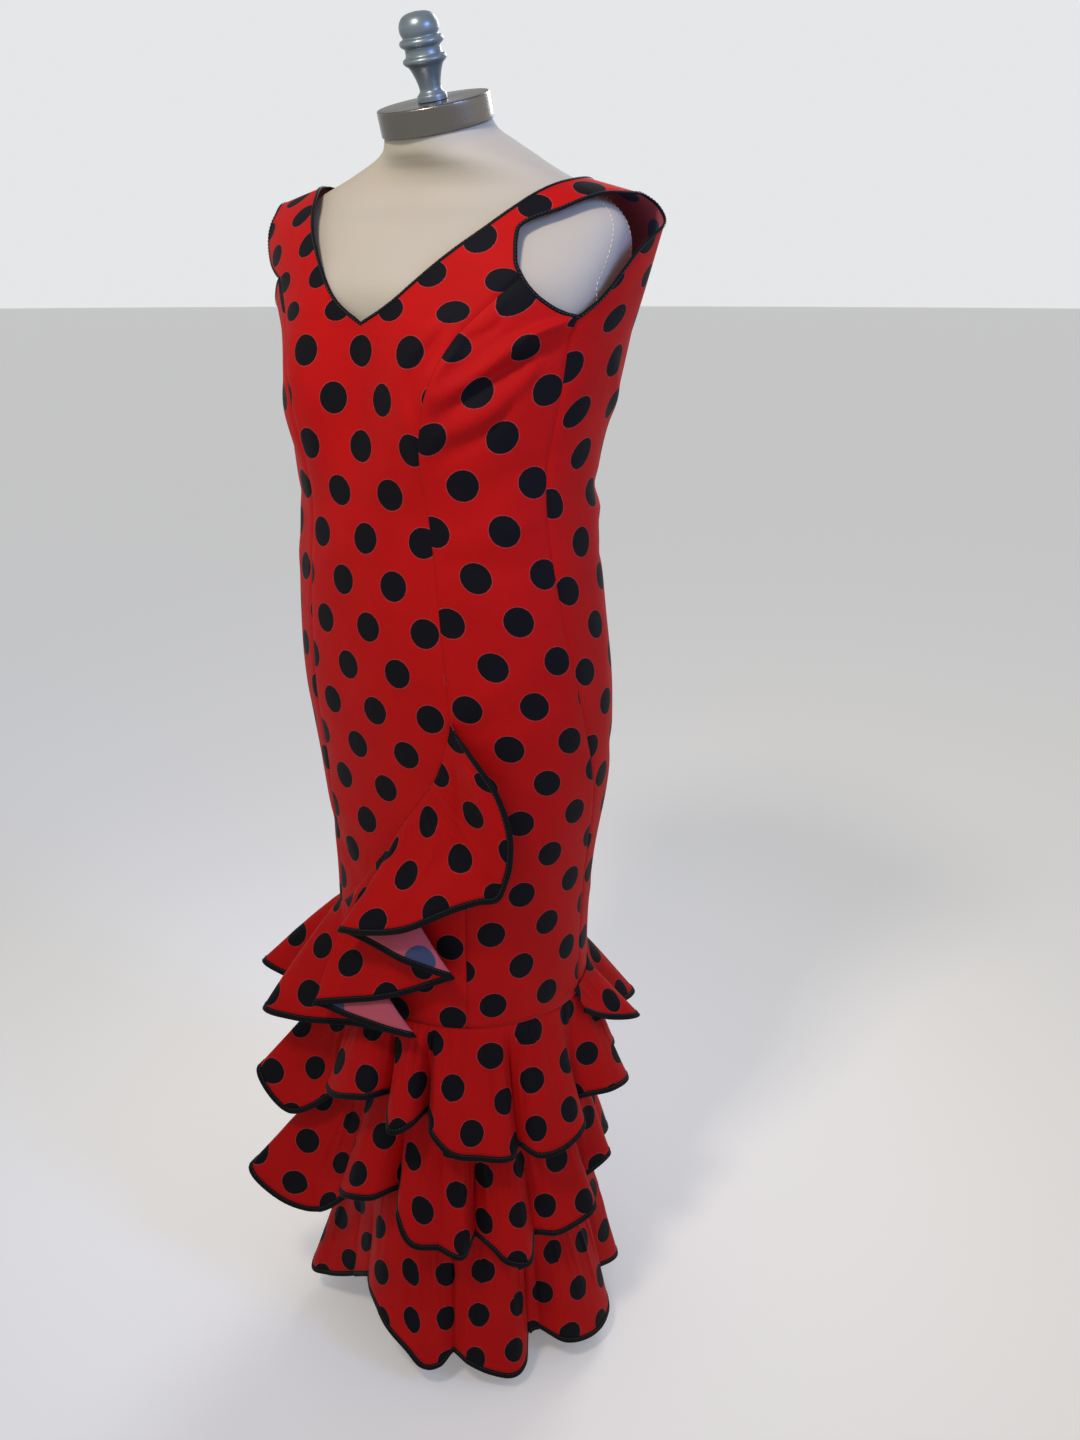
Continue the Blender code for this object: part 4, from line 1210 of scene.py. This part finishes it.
bottomRows = (
    (-166, -166, 0.055, 0.030),
    (-149, -149, 0.018, 0.040),
    (-132, -132, 0.058, 0.028),
    (-115, -115, 0.018, 0.040),
    (-98, -98, 0.062, 0.030),
    (-79, -79, 0.020, 0.045),
    (-62, -60, 0.042, 0.050),
    (-48, -45, 0.058, 0.042),
    (-39, -38, 0.040, 0.046),
    (-28, -28, 0.014, 0.062),
    (-14, -16, 0.010, 0.084),
    (-4, -3, 0.030, 0.092),
    (4, 5, 0.040, 0.074),
    (12, 14, 0.040, 0.053),
    (18, 20, 0.040, 0.033),
    (24, 26, 0.036, 0.036),
    (30, 31, 0.022, 0.045),
    (37, 38, 0.030, 0.038),
    (45, 46, 0.036, 0.027),
    (53, 55, 0.040, 0.020),
    (60, 61, 0.030, 0.024),
    (66, 66, 0.010, 0.043),
    (72, 72, 0.014, 0.046),
    (79, 79, 0.040, 0.034),
    (87, 89, 0.050, 0.025),
    (96, 98, 0.050, 0.026),
    (105, 105, 0.040, 0.030),
    (115, 114, 0.016, 0.042),
    (130, 130, 0.042, 0.032),
    (146, 146, 0.018, 0.040),
    (162, 162, 0.050, 0.030),
    (178, 178, 0.018, 0.040),
)
seamLift = 0.030
seamLiftSpread = 18.0
foldSettings = {
    "fullCrest": 0.025,       # a fold that stands this far past its neighbours counts in full
    "crestKick": 0.12,
    "grooveWidth": 0.13,      # in steps from one row of folds to the next
    "grooveStart": 0.15,
    "grooveFade": 0.4,
    "pleatSharpness": 6,
}


def readFold(rows, column, place, roundBody):
    count = len(rows)
    index = math.floor(place)

    def value(number):
        if roundBody:
            turn, inside = divmod(number, count)
            return rows[inside][column] + (360.0 * turn if column in (0, 1) else 0.0)
        return rows[min(max(number, 0), count - 1)][column]

    before, low, high, after = (value(index + step) for step in (-1, 0, 1, 2))
    return hermite(place - index, low, high, (high - before) / 2, (after - low) / 2)


def liftedSeam(base, angle):
    wrapped = (angle + 180.0) % 360.0 - 180.0
    return base + seamLift * math.exp(-(wrapped / seamLiftSpread) ** 2)


# What the three closed flounces share.
ringFlounce = {
    "closed": True,
    "seamOut": -0.0010,
    "perRow": 14,
    "down": 22,
    "kick": 1.12,
    "ripple": 0.0022,
    "valley": 0.6,
    "groove": 0.011,
    "creases": (),
    "gathers": 0.0028,
    "outwardAt": 20,
}
flounces = (
    {
        "name": "cascadeFlounce",
        "node": "flounce_1",
        "rows": cascadeRows,
        "closed": False,
        "seamOut": 0.0014,
        "perRow": 12,
        "down": 26,
        "kick": 1.06,
        "ripple": 0.0016,
        "valley": 0.35,
        "groove": 0.0,
        # Creases pressed into the flap. Columns: place, share, place, share, width, depth.
        "creases": (
            (1.0, 0.45, 5.6, 0.92, 0.10, 0.0075),
            (2.2, 0.22, 8.0, 0.55, 0.10, -0.0050),
            (6.5, 0.10, 9.5, 0.80, 0.08, 0.0040),
        ),
        "gathers": 0.0012,
        "outwardAt": 3,
    },
    {
        **ringFlounce,
        "name": "kneeFlounce",
        "node": "flounce_2",
        "rows": kneeRows,
        "seamOut": 0.0,
        "seam": lambda angle: skirtSeamLevel(angle) - 0.0004,
    },
    {
        **ringFlounce,
        "name": "calfFlounce",
        "node": "flounce_3",
        "rows": calfRows,
        "seam": lambda angle: liftedSeam(0.352, angle),
    },
    {
        **ringFlounce,
        "name": "bottomFlounce",
        "node": "flounce_4",
        "rows": bottomRows,
        "down": 24,
        "ripple": 0.0020,
        "seam": lambda angle: liftedSeam(0.212, angle),
    },
)


def foldEnds(tier, place):
    rows = tier["rows"]
    if tier["closed"]:
        seamAngle, hemAngle, standOff, height = (readFold(rows, column, place, True) for column in range(4))
        seamHeight = tier["seam"](seamAngle)
    else:
        seamAngle, seamHeight, hemAngle, standOff, height = (
            readFold(rows, column, place, False) for column in range(5)
        )
    return (seamAngle, tier["seamOut"], seamHeight), (hemAngle, standOff, height)


def flouncePoint(tier, place, share):
    seam, hem = foldEnds(tier, place)
    angle = seam[0] + (hem[0] - seam[0]) * share
    height = seam[2] + (hem[2] - seam[2]) * share
    # Valleys stay close to the body for longer than crests do, so the folds start right at the seam.
    beside = [foldEnds(tier, place + step)[1][1] for step in (-1, 1)]
    fullCrest = foldSettings["fullCrest"]
    crest = min(max((hem[1] - sum(beside) / 2) / fullCrest, -1.0), 1.0)
    kick = tier["kick"] - tier["valley"] * min(crest, 0.0) - foldSettings["crestKick"] * max(crest, 0.0)
    standOff = seam[1] + (hem[1] - seam[1]) * share ** kick
    # The bottom of each valley is pressed into a narrow groove, as far as the cloth beneath leaves room.
    nearest = round(place)
    hems = [foldEnds(tier, nearest + step)[1][1] for step in (-1, 0, 1)]
    if tier["groove"] and hems[1] < (hems[0] + hems[2]) / 2:
        deep = min((hems[0] + hems[2]) / 2 - hems[1], fullCrest) / fullCrest
        pressed = tier["groove"] * deep * math.exp(-abs(place - nearest) / foldSettings["grooveWidth"])
        pressed *= easeBetween(0.0, foldSettings["grooveStart"], share)
        standOff = max(standOff - pressed * (1 - foldSettings["grooveFade"] * share), seam[1])
    # A few small pleats start at the seam and die out downwards, and the hem sways between its folds.
    rest = 1.0 if tier["closed"] else easeBetween(0.0, 1.0, place)
    fade = easeBetween(0.0, 0.12, share) * (1 - easeBetween(0.35, 0.95, share))
    pucker = noise.noise(Vector((place * 1.7, share * 0.5, 4.4 + len(tier["rows"]))))
    pucker = max(1 - foldSettings["pleatSharpness"] * abs(pucker), 0.0)
    standOff += rest * tier["gathers"] * fade * pucker
    for firstPlace, firstShare, lastPlace, lastShare, width, depth in tier["creases"]:
        along = (place - firstPlace) / (lastPlace - firstPlace)
        if -0.2 < along < 1.2:
            off = share - firstShare - (lastShare - firstShare) * along
            fadeEnds = easeBetween(-0.2, 0.15, along) * (1 - easeBetween(0.85, 1.2, along))
            held = easeBetween(0.0, 0.3, share) * easeBetween(0.8, 2.6, place)
            standOff += depth * fadeEnds * held * math.exp(-abs(off) / width)
    sway = noise.noise(Vector((angle / 11.0, height * 8.0, 1.7 + len(tier["name"]))))
    standOff += rest * tier["ripple"] * share * sway
    return torsoPoint(angle, height, standOff)


def sectorFlat(points, closedRound):
    # The flat cut of a flared flounce is a ring sector, so its print stays round and turns with the cut.
    columns = len(points[0])
    count = columns + 1 if closedRound else columns
    middle = len(points) // 2
    downs = []
    for column in range(columns):
        down = [0.0]
        for low, high in zip(points, points[1:]):
            down.append(down[-1] + (high[column] - low[column]).length)
        downs.append(down)
    seamLength = sum((points[0][(c + 1) % columns] - points[0][c]).length for c in range(count - 1))
    hemLength = sum((points[-1][(c + 1) % columns] - points[-1][c]).length for c in range(count - 1))
    depth = sum(down[-1] for down in downs) / columns
    radius = depth * seamLength / (hemLength - seamLength)
    flat = [[] for row in points]
    turn = 0.0
    for column in range(count):
        down = downs[column % columns]
        for row in range(len(points)):
            reach = radius + down[row]
            flat[row].append((reach * math.sin(turn), -reach * math.cos(turn)))
        if column < count - 1:
            ahead = points[middle][(column + 1) % columns]
            turn += (ahead - points[middle][column]).length / (radius + down[middle])
    area = (seamLength + hemLength) / 2 * depth
    return flat, hemLength, max(down[-1] for down in downs), area


def buildFlounce(tier):
    closed, tape = tier["closed"], tapeSettings["hem"]
    spans = len(tier["rows"]) if closed else len(tier["rows"]) - 1
    steps = spans * tier["perRow"]
    lines = []
    edges = []
    for step in range(steps if closed else steps + 1):
        place = step / tier["perRow"]
        length = (flouncePoint(tier, place, 1.0) - flouncePoint(tier, place, 0.0)).length
        # The cloth ends where the binding's own width begins, or where the strip is too narrow for one.
        stop = 1.0 - tape["width"] / length if length > 3 * tape["width"] else 0.6
        line = [flouncePoint(tier, place, stop * (down / tier["down"])) for down in range(tier["down"] + 1)]
        lines.append(line)
        if length > 1.5 * tape["width"]:
            edges.append((line[-1], line[-2], min(1.0, length * 0.35 / tape["width"])))
    points = [[line[row] for line in lines] for row in range(tier["down"] + 1)]
    flat, hemLength, depth, area = sectorFlat(points, closed)
    turned = math.radians(foldEnds(tier, tier["outwardAt"])[0][0])
    outward = (3, tier["outwardAt"] * tier["perRow"], Vector((math.sin(turned), -math.cos(turned), 0.0)))
    piece = clothSheet(tier["name"], points, flat, outward, closed)
    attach(piece, "root")
    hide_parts(tier["node"])
    binding = bindEdge(tier["name"], tier["node"], edges, tape, closed)


for tier in flounces:
    buildFlounce(tier)
    print(tier["name"], "ready")


formSettings = {
    "bottom": 0.735,
    "bottomRound": 0.012,
    "clearance": 0.0078,
    "levels": (0.785, 0.855, 0.925, 0.995, 1.06, 1.115, 1.17),
    "around": 144,
    "rings": 170,
}
# Columns: height, halfWidth, front, back, centreY, tilt, turn.
formUpperRows = (
    (1.262, 0.194, 0.1144, 0.132, -0.007, 0.0, 3.0),
    (1.296, 0.196, 0.092, 0.107, -0.003, 0.0, 6.0),
    (1.318, 0.190, 0.074, 0.080, -0.001, 0.0, 7.5),
    (1.336, 0.171, 0.054, 0.059, 0.000, 2.0, 9.0),
    (1.350, 0.146, 0.046, 0.055, 0.000, 4.0, 9.0),
    (1.362, 0.120, 0.044, 0.058, -0.001, 7.0, 7.0),
    (1.374, 0.096, 0.045, 0.061, -0.003, 11.0, 4.0),
    (1.384, 0.075, 0.048, 0.060, -0.006, 14.0, 1.0),
    (1.393, 0.059, 0.050, 0.055, -0.010, 16.0, 0.0),
    (1.404, 0.052, 0.051, 0.051, -0.0125, 16.0, 0.0),
)


def formRing(row, shrink=0.0):
    height, halfWidth, front, back, centreY, tilt, turn = row
    lean = math.radians(tilt)
    twist = math.radians(turn)
    shift = bodySettings["shoulderShift"] * twist / bodySettings["shoulderTwist"]
    power = 2 / bodySettings["sectionPower"]
    ring = []
    for column in range(formSettings["around"]):
        turned = 2 * math.pi * column / formSettings["around"]
        faces = math.cos(turned)
        depth = front if faces > 0 else back
        x = (halfWidth - shrink) * signedPower(math.sin(turned), power)
        y = -(depth - shrink) * signedPower(faces, power)
        y -= bustBulge(x, height, faces)
        leaned = height + y * math.sin(lean)
        y = centreY + y * math.cos(lean)
        across = x * math.cos(twist) - y * math.sin(twist) + shift
        ring.append(Vector((across, x * math.sin(twist) + y * math.cos(twist), leaned)))
    return ring


def buildForm():
    rows = []
    inset = formSettings["clearance"]
    lowest = formSettings["bottom"] + formSettings["bottomRound"]
    for level in (lowest, *formSettings["levels"], bustLevel):
        halfWidth, front, back, centreY = sectionAt(level)[:4]
        rows.append((level, halfWidth - inset, front - inset, back - inset, centreY, 0.0, 0.0))
    rows += list(formUpperRows)
    highest = rows[-1][0]
    rings = []
    for turned in quarterTurns:
        height = formSettings["bottom"] + formSettings["bottomRound"] * (1 - math.cos(turned))
        inward = formSettings["bottomRound"] * (1 - math.sin(turned))
        rings.append(formRing((height, *rows[0][1:]), inward))
    for step in range(1, formSettings["rings"] + 1):
        height = lowest + (highest - lowest) * (1 - (1 - step / formSettings["rings"]) ** 1.25)
        rings.append(formRing((height, *(smoothRead(rows, column, height) for column in range(1, 7)))))
    mesh = bpy.data.meshes.new("formBody")
    shell = bmesh.new()
    grid = [[shell.verts.new(point) for point in ring] for ring in rings]
    around = formSettings["around"]
    for low, high in zip(grid, grid[1:]):
        for column in range(around):
            beside = (column + 1) % around
            face = shell.faces.new((low[column], low[beside], high[beside], high[column]))
            face.smooth = True
    for ring in (grid[0], grid[-1]):
        middle = shell.verts.new(sum((vert.co for vert in ring), Vector()) / around)
        for column in range(around):
            shell.faces.new((ring[column], ring[(column + 1) % around], middle))
    bmesh.ops.recalc_face_normals(shell, faces=shell.faces)
    shell.to_mesh(mesh)
    shell.free()
    piece = linkPiece("formBody", mesh, [linen])
    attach(piece, "root")
    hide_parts("form_body")
buildForm()


stubStitches = {"pitch": 0.0050, "length": 0.0034, "thickness": 0.00045}


def formSeam(name, side, angle, lowest, highest, pitches):
    # The end panel of each shoulder stub is sewn on: a line of cream stitches round its edge.
    path = []
    column = round(formSettings["around"] * angle / 360) * side
    for step in range(pitches + 1):
        height = lowest + (highest - lowest) * step / pitches
        row = (height, *(smoothRead(formUpperRows, column, height) for column in range(1, 7)))
        path.append(formRing(row, -0.0002)[column])
    stitchRun(name, path, creamStitches, stubStitches)


for side, word in ((1, "left"), (-1, "right")):
    formSeam(word + "StubSeamFront", side, 79.0, 1.232, 1.338, 30)
    formSeam(word + "StubSeamBack", side, 101.0, 1.232, 1.338, 30)
print("form ready")


def turnedPiece(name, profile, steps, place, materials, node):
    # A piece turned on a lathe: the profile runs down its outer side from the middle to the middle.
    mesh = bpy.data.meshes.new(name)
    body = bmesh.new()
    layer = body.loops.layers.uv.new("turnUv")
    rings = []
    for radius, height in profile:
        if radius < 0.00001:
            rings.append([body.verts.new(place @ Vector((0, 0, height)))])
            continue
        turns = [2 * math.pi * step / steps for step in range(steps)]
        points = [Vector((radius * math.cos(turn), radius * math.sin(turn), height)) for turn in turns]
        rings.append([body.verts.new(place @ point) for point in points])
    run = 0.0
    for index in range(len(profile) - 1):
        upper, lower = rings[index], rings[index + 1]
        fall = math.dist(profile[index], profile[index + 1])
        for step in range(steps):
            beside = (step + 1) % steps
            corners = [(upper[step % len(upper)], step, run), (lower[step % len(lower)], step, run + fall)]
            if len(lower) > 1:
                corners.append((lower[beside], step + 1, run + fall))
            if len(upper) > 1:
                corners.append((upper[beside], step + 1, run))
            face = body.faces.new([corner[0] for corner in corners])
            face.smooth = True
            for loop, corner in zip(face.loops, corners):
                loop[layer].uv = (corner[1] / steps, corner[2])
        run += fall
    bmesh.ops.recalc_face_normals(body, faces=body.faces)
    body.to_mesh(mesh)
    body.free()
    mesh.set_sharp_from_angle(angle=math.radians(45))
    piece = linkPiece(name, mesh, materials)
    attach(piece, "root")
    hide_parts(node)
    return piece


def smoothProfile(rows, steps):
    # rows are radius and share of the height, from the top down; a smooth curve runs through them.
    profile = []
    for index in range(len(rows) - 1):
        near = [rows[min(max(index + step, 0), len(rows) - 1)] for step in (-1, 0, 1, 2)]
        for step in range(steps):
            profile.append(tuple(
                hermite(step / steps, low, high, (high - before) / 2, (after - low) / 2)
                for before, low, high, after in zip(*near)
            ))
    profile.append(rows[-1])
    return profile


neckCap = {"radius": 0.0550, "height": 0.024, "bevel": 0.0016, "tilt": 16, "top": (0.0, -0.0125, 1.404)}
finial = {"height": 0.075}
stand = {
    "poleRadius": 0.0125,
    "baseRadius": 0.120,
    "baseThickness": 0.009,
    "hubRadius": 0.024,
    "hubHeight": 0.040,
}

bandSteel = brushedSteelBand("brushed_steel_band")
greyPaint = satinPaint("satin_grey_paint", "#6E7A80", 0.55, 0.34)
blackPaint = satinPaint("black_powder_coat", "#1B1B1D", 0.0, 0.5)


def buildNeckPieces():
    lean = Matrix.Rotation(math.radians(neckCap["tilt"]), 4, "X")
    radius, height, bevel = neckCap["radius"], neckCap["height"], neckCap["bevel"]
    profile = [(0.0, height - 0.0004), (radius * 0.5, height - 0.0003)]
    for turned in quarterTurns:
        profile.append((radius - bevel + bevel * math.sin(turned), height - bevel + bevel * math.cos(turned)))
    for step in range(1, 7):
        profile.append((radius, bevel + (height - 2 * bevel) * (1 - step / 6)))
    for turned in quarterTurns[1:]:
        profile.append((radius - bevel + bevel * math.cos(turned), bevel - bevel * math.sin(turned)))
    profile.append((0.0, 0.0))
    seat = Matrix.Translation(Vector(neckCap["top"]) + lean @ Vector((0, 0, 0.0003))) @ lean
    turnedPiece("neckCap", profile, 128, seat, [bandSteel], "neck_cap")
    # From the tip down: egg, ring, neck, ring, long taper, foot.
    finialRows = (
        (0.0, 1.000),
        (0.0092, 0.985),
        (0.0150, 0.945),
        (0.0184, 0.870),
        (0.0188, 0.790),
        (0.0172, 0.725),
        (0.0202, 0.700),
        (0.0212, 0.665),
        (0.0198, 0.630),
        (0.0172, 0.600),
        (0.0176, 0.520),
        (0.0202, 0.495),
        (0.0211, 0.465),
        (0.0196, 0.430),
        (0.0160, 0.385),
        (0.0120, 0.250),
        (0.0105, 0.130),
        (0.0125, 0.085),
        (0.0142, 0.060),
        (0.0145, 0.0),
        (0.0, 0.0),
    )
    rows = [(radius, share * finial["height"]) for radius, share in finialRows[:-1]]
    profile = smoothProfile(rows, 6) + [(0.0, 0.0)]
    profile[0] = (0.0, profile[0][1])
    seat = Matrix.Translation(Vector(neckCap["top"]) + lean @ Vector((0, 0, height + 0.0006))) @ lean
    turnedPiece("finial", profile, 64, seat, [greyPaint], "finial")


def buildStand():
    hubTop = stand["baseThickness"] + stand["hubHeight"]
    thick = stand["baseThickness"]
    profile = [
        (0.0, hubTop),
        (stand["hubRadius"] - 0.004, hubTop),
        (stand["hubRadius"] - 0.001, hubTop - 0.003),
        (stand["hubRadius"], thick + 0.010),
        (stand["hubRadius"] + 0.002, thick + 0.005),
        (stand["hubRadius"] + 0.010, thick + 0.0005),
        (stand["baseRadius"] - 0.003, thick),
        (stand["baseRadius"] - 0.0009, thick - 0.0009),
        (stand["baseRadius"], thick - 0.003),
        (stand["baseRadius"], 0.0),
        (0.0, 0.0),
    ]
    turnedPiece("basePlate", profile, 96, Matrix.Identity(4), [blackPaint], "base_plate")
    low, high = hubTop + 0.0003, formSettings["bottom"] - 0.0003
    profile = [(0.0, high), (stand["poleRadius"] - 0.0006, high), (stand["poleRadius"], high - 0.0006)]
    profile += [(stand["poleRadius"], high - (high - low) * step / 12) for step in range(1, 12)]
    profile += [(stand["poleRadius"], low + 0.0006), (stand["poleRadius"] - 0.0006, low), (0.0, low)]
    turnedPiece("pole", profile, 48, Matrix.Identity(4), [bandSteel], "pole")


buildNeckPieces()
buildStand()
zipTape = bpy.data.objects["centre_back_zip"]
zipTape.data.materials.clear()
zipTape.data.materials.append(blackThread)
print("neck pieces, stand and zip ready")


floorSettings = {"radius": 60.0, "sides": 96, "colour": "#F2F1EF", "glow": "#F7F8FA", "glowStrength": 0.18}
floorTurns = [2 * math.pi * step / floorSettings["sides"] for step in range(floorSettings["sides"])]
floorMesh = bpy.data.meshes.new("floor")
floorRim = [Vector((math.cos(turn), math.sin(turn), 0.0)) * floorSettings["radius"] for turn in floorTurns]
floorMesh.from_pydata(floorRim, [], [range(floorSettings["sides"])])
floor = bpy.data.objects.new("floor", floorMesh)
floorPaint, floorTree, floorShader = newMaterial("pale_floor")
feed(floorTree, floorShader, (
    ("Base Color", hexColour(floorSettings["colour"])),
    ("Roughness", 0.9),
    ("Emission Color", hexColour(floorSettings["glow"])),
    ("Emission Strength", floorSettings["glowStrength"]),
))
floor.data.materials.append(floorPaint)
bpy.context.scene.collection.objects.link(floor)

world = bpy.data.worlds.new("studio")
bpy.context.scene.world = world
bpy.context.scene.view_settings.view_transform = "Standard"
world.use_nodes = True
# A pale band round the horizon, as a lit studio sweep gives, and a dimmer ceiling.
sky = world.node_tree
towards = addNode(sky, "ShaderNodeTexCoord").outputs["Generated"]
climb = addNode(sky, "ShaderNodeSeparateXYZ", [(0, towards)]).outputs["Z"]
glowRange = [("Value", climb), ("From Min", 0.2), ("From Max", 0.4), ("To Min", 0.85), ("To Max", 0.42)]
glow = addNode(sky, "ShaderNodeMapRange", glowRange)
sky.nodes["Background"].inputs["Color"].default_value = hexColour("#F7F8FA")
sky.links.new(glow.outputs[0], sky.nodes["Background"].inputs["Strength"])

# Columns: name, place, watts, size, colour.
lampRows = (
    ("keyLight", (0.25, -1.25, 2.4), 4.1, 0.3, "#FFF0E0"),
    ("fillLight", (1.9, -0.1, 1.95), 4.2, 0.5, "#86AAFF"),
    ("rimLight", (-0.6, 2.4, 2.4), 6.0, 1.2, "#FFFFFF"),
)
aim = Vector((0.0, 0.0, 1.30))
for name, place, watts, size, colour in lampRows:
    data = bpy.data.lights.new(name, "AREA")
    data.energy = watts
    data.size = size
    data.spread = math.radians(72)  # soft boxes with a grid, so the light falls off towards the floor
    data.color = hexColour(colour)[:3]
    lamp = bpy.data.objects.new(name, data)
    lamp.location = place
    lamp.rotation_euler = (aim - Vector(place)).to_track_quat("-Z", "Y").to_euler()
    bpy.context.scene.collection.objects.link(lamp)

# The photo's own viewing angle: round to the wearer's left, a little above, looking down.
camera = {
    "azimuth": 41.0,
    "distance": 1.34,
    "height": 1.268,
    "down": 19.5,
    "yaw": 3.88,
    "lens": 31.25,
    "sensor": 36.0,
}
azimuth = math.radians(camera["azimuth"])
yaw = math.radians(camera["yaw"])
down = math.radians(camera["down"])
ahead = Vector((-math.sin(azimuth), math.cos(azimuth), 0.0))
right = Vector((math.cos(azimuth), math.sin(azimuth), 0.0))
level = ahead * math.cos(yaw) + right * math.sin(yaw)
looking = level * math.cos(down) - Vector((0.0, 0.0, math.sin(down)))
cameraData = bpy.data.cameras.new("camera")
cameraData.lens = camera["lens"]
cameraData.sensor_fit = "VERTICAL"
cameraData.sensor_height = camera["sensor"]
cameraObject = bpy.data.objects.new("camera", cameraData)
cameraObject.location = Vector((-ahead.x * camera["distance"], -ahead.y * camera["distance"], camera["height"]))
cameraObject.rotation_euler = looking.to_track_quat("-Z", "Y").to_euler()
bpy.context.scene.collection.objects.link(cameraObject)
bpy.context.scene.camera = cameraObject
print("light and camera ready")

bpy.context.view_layer.update()
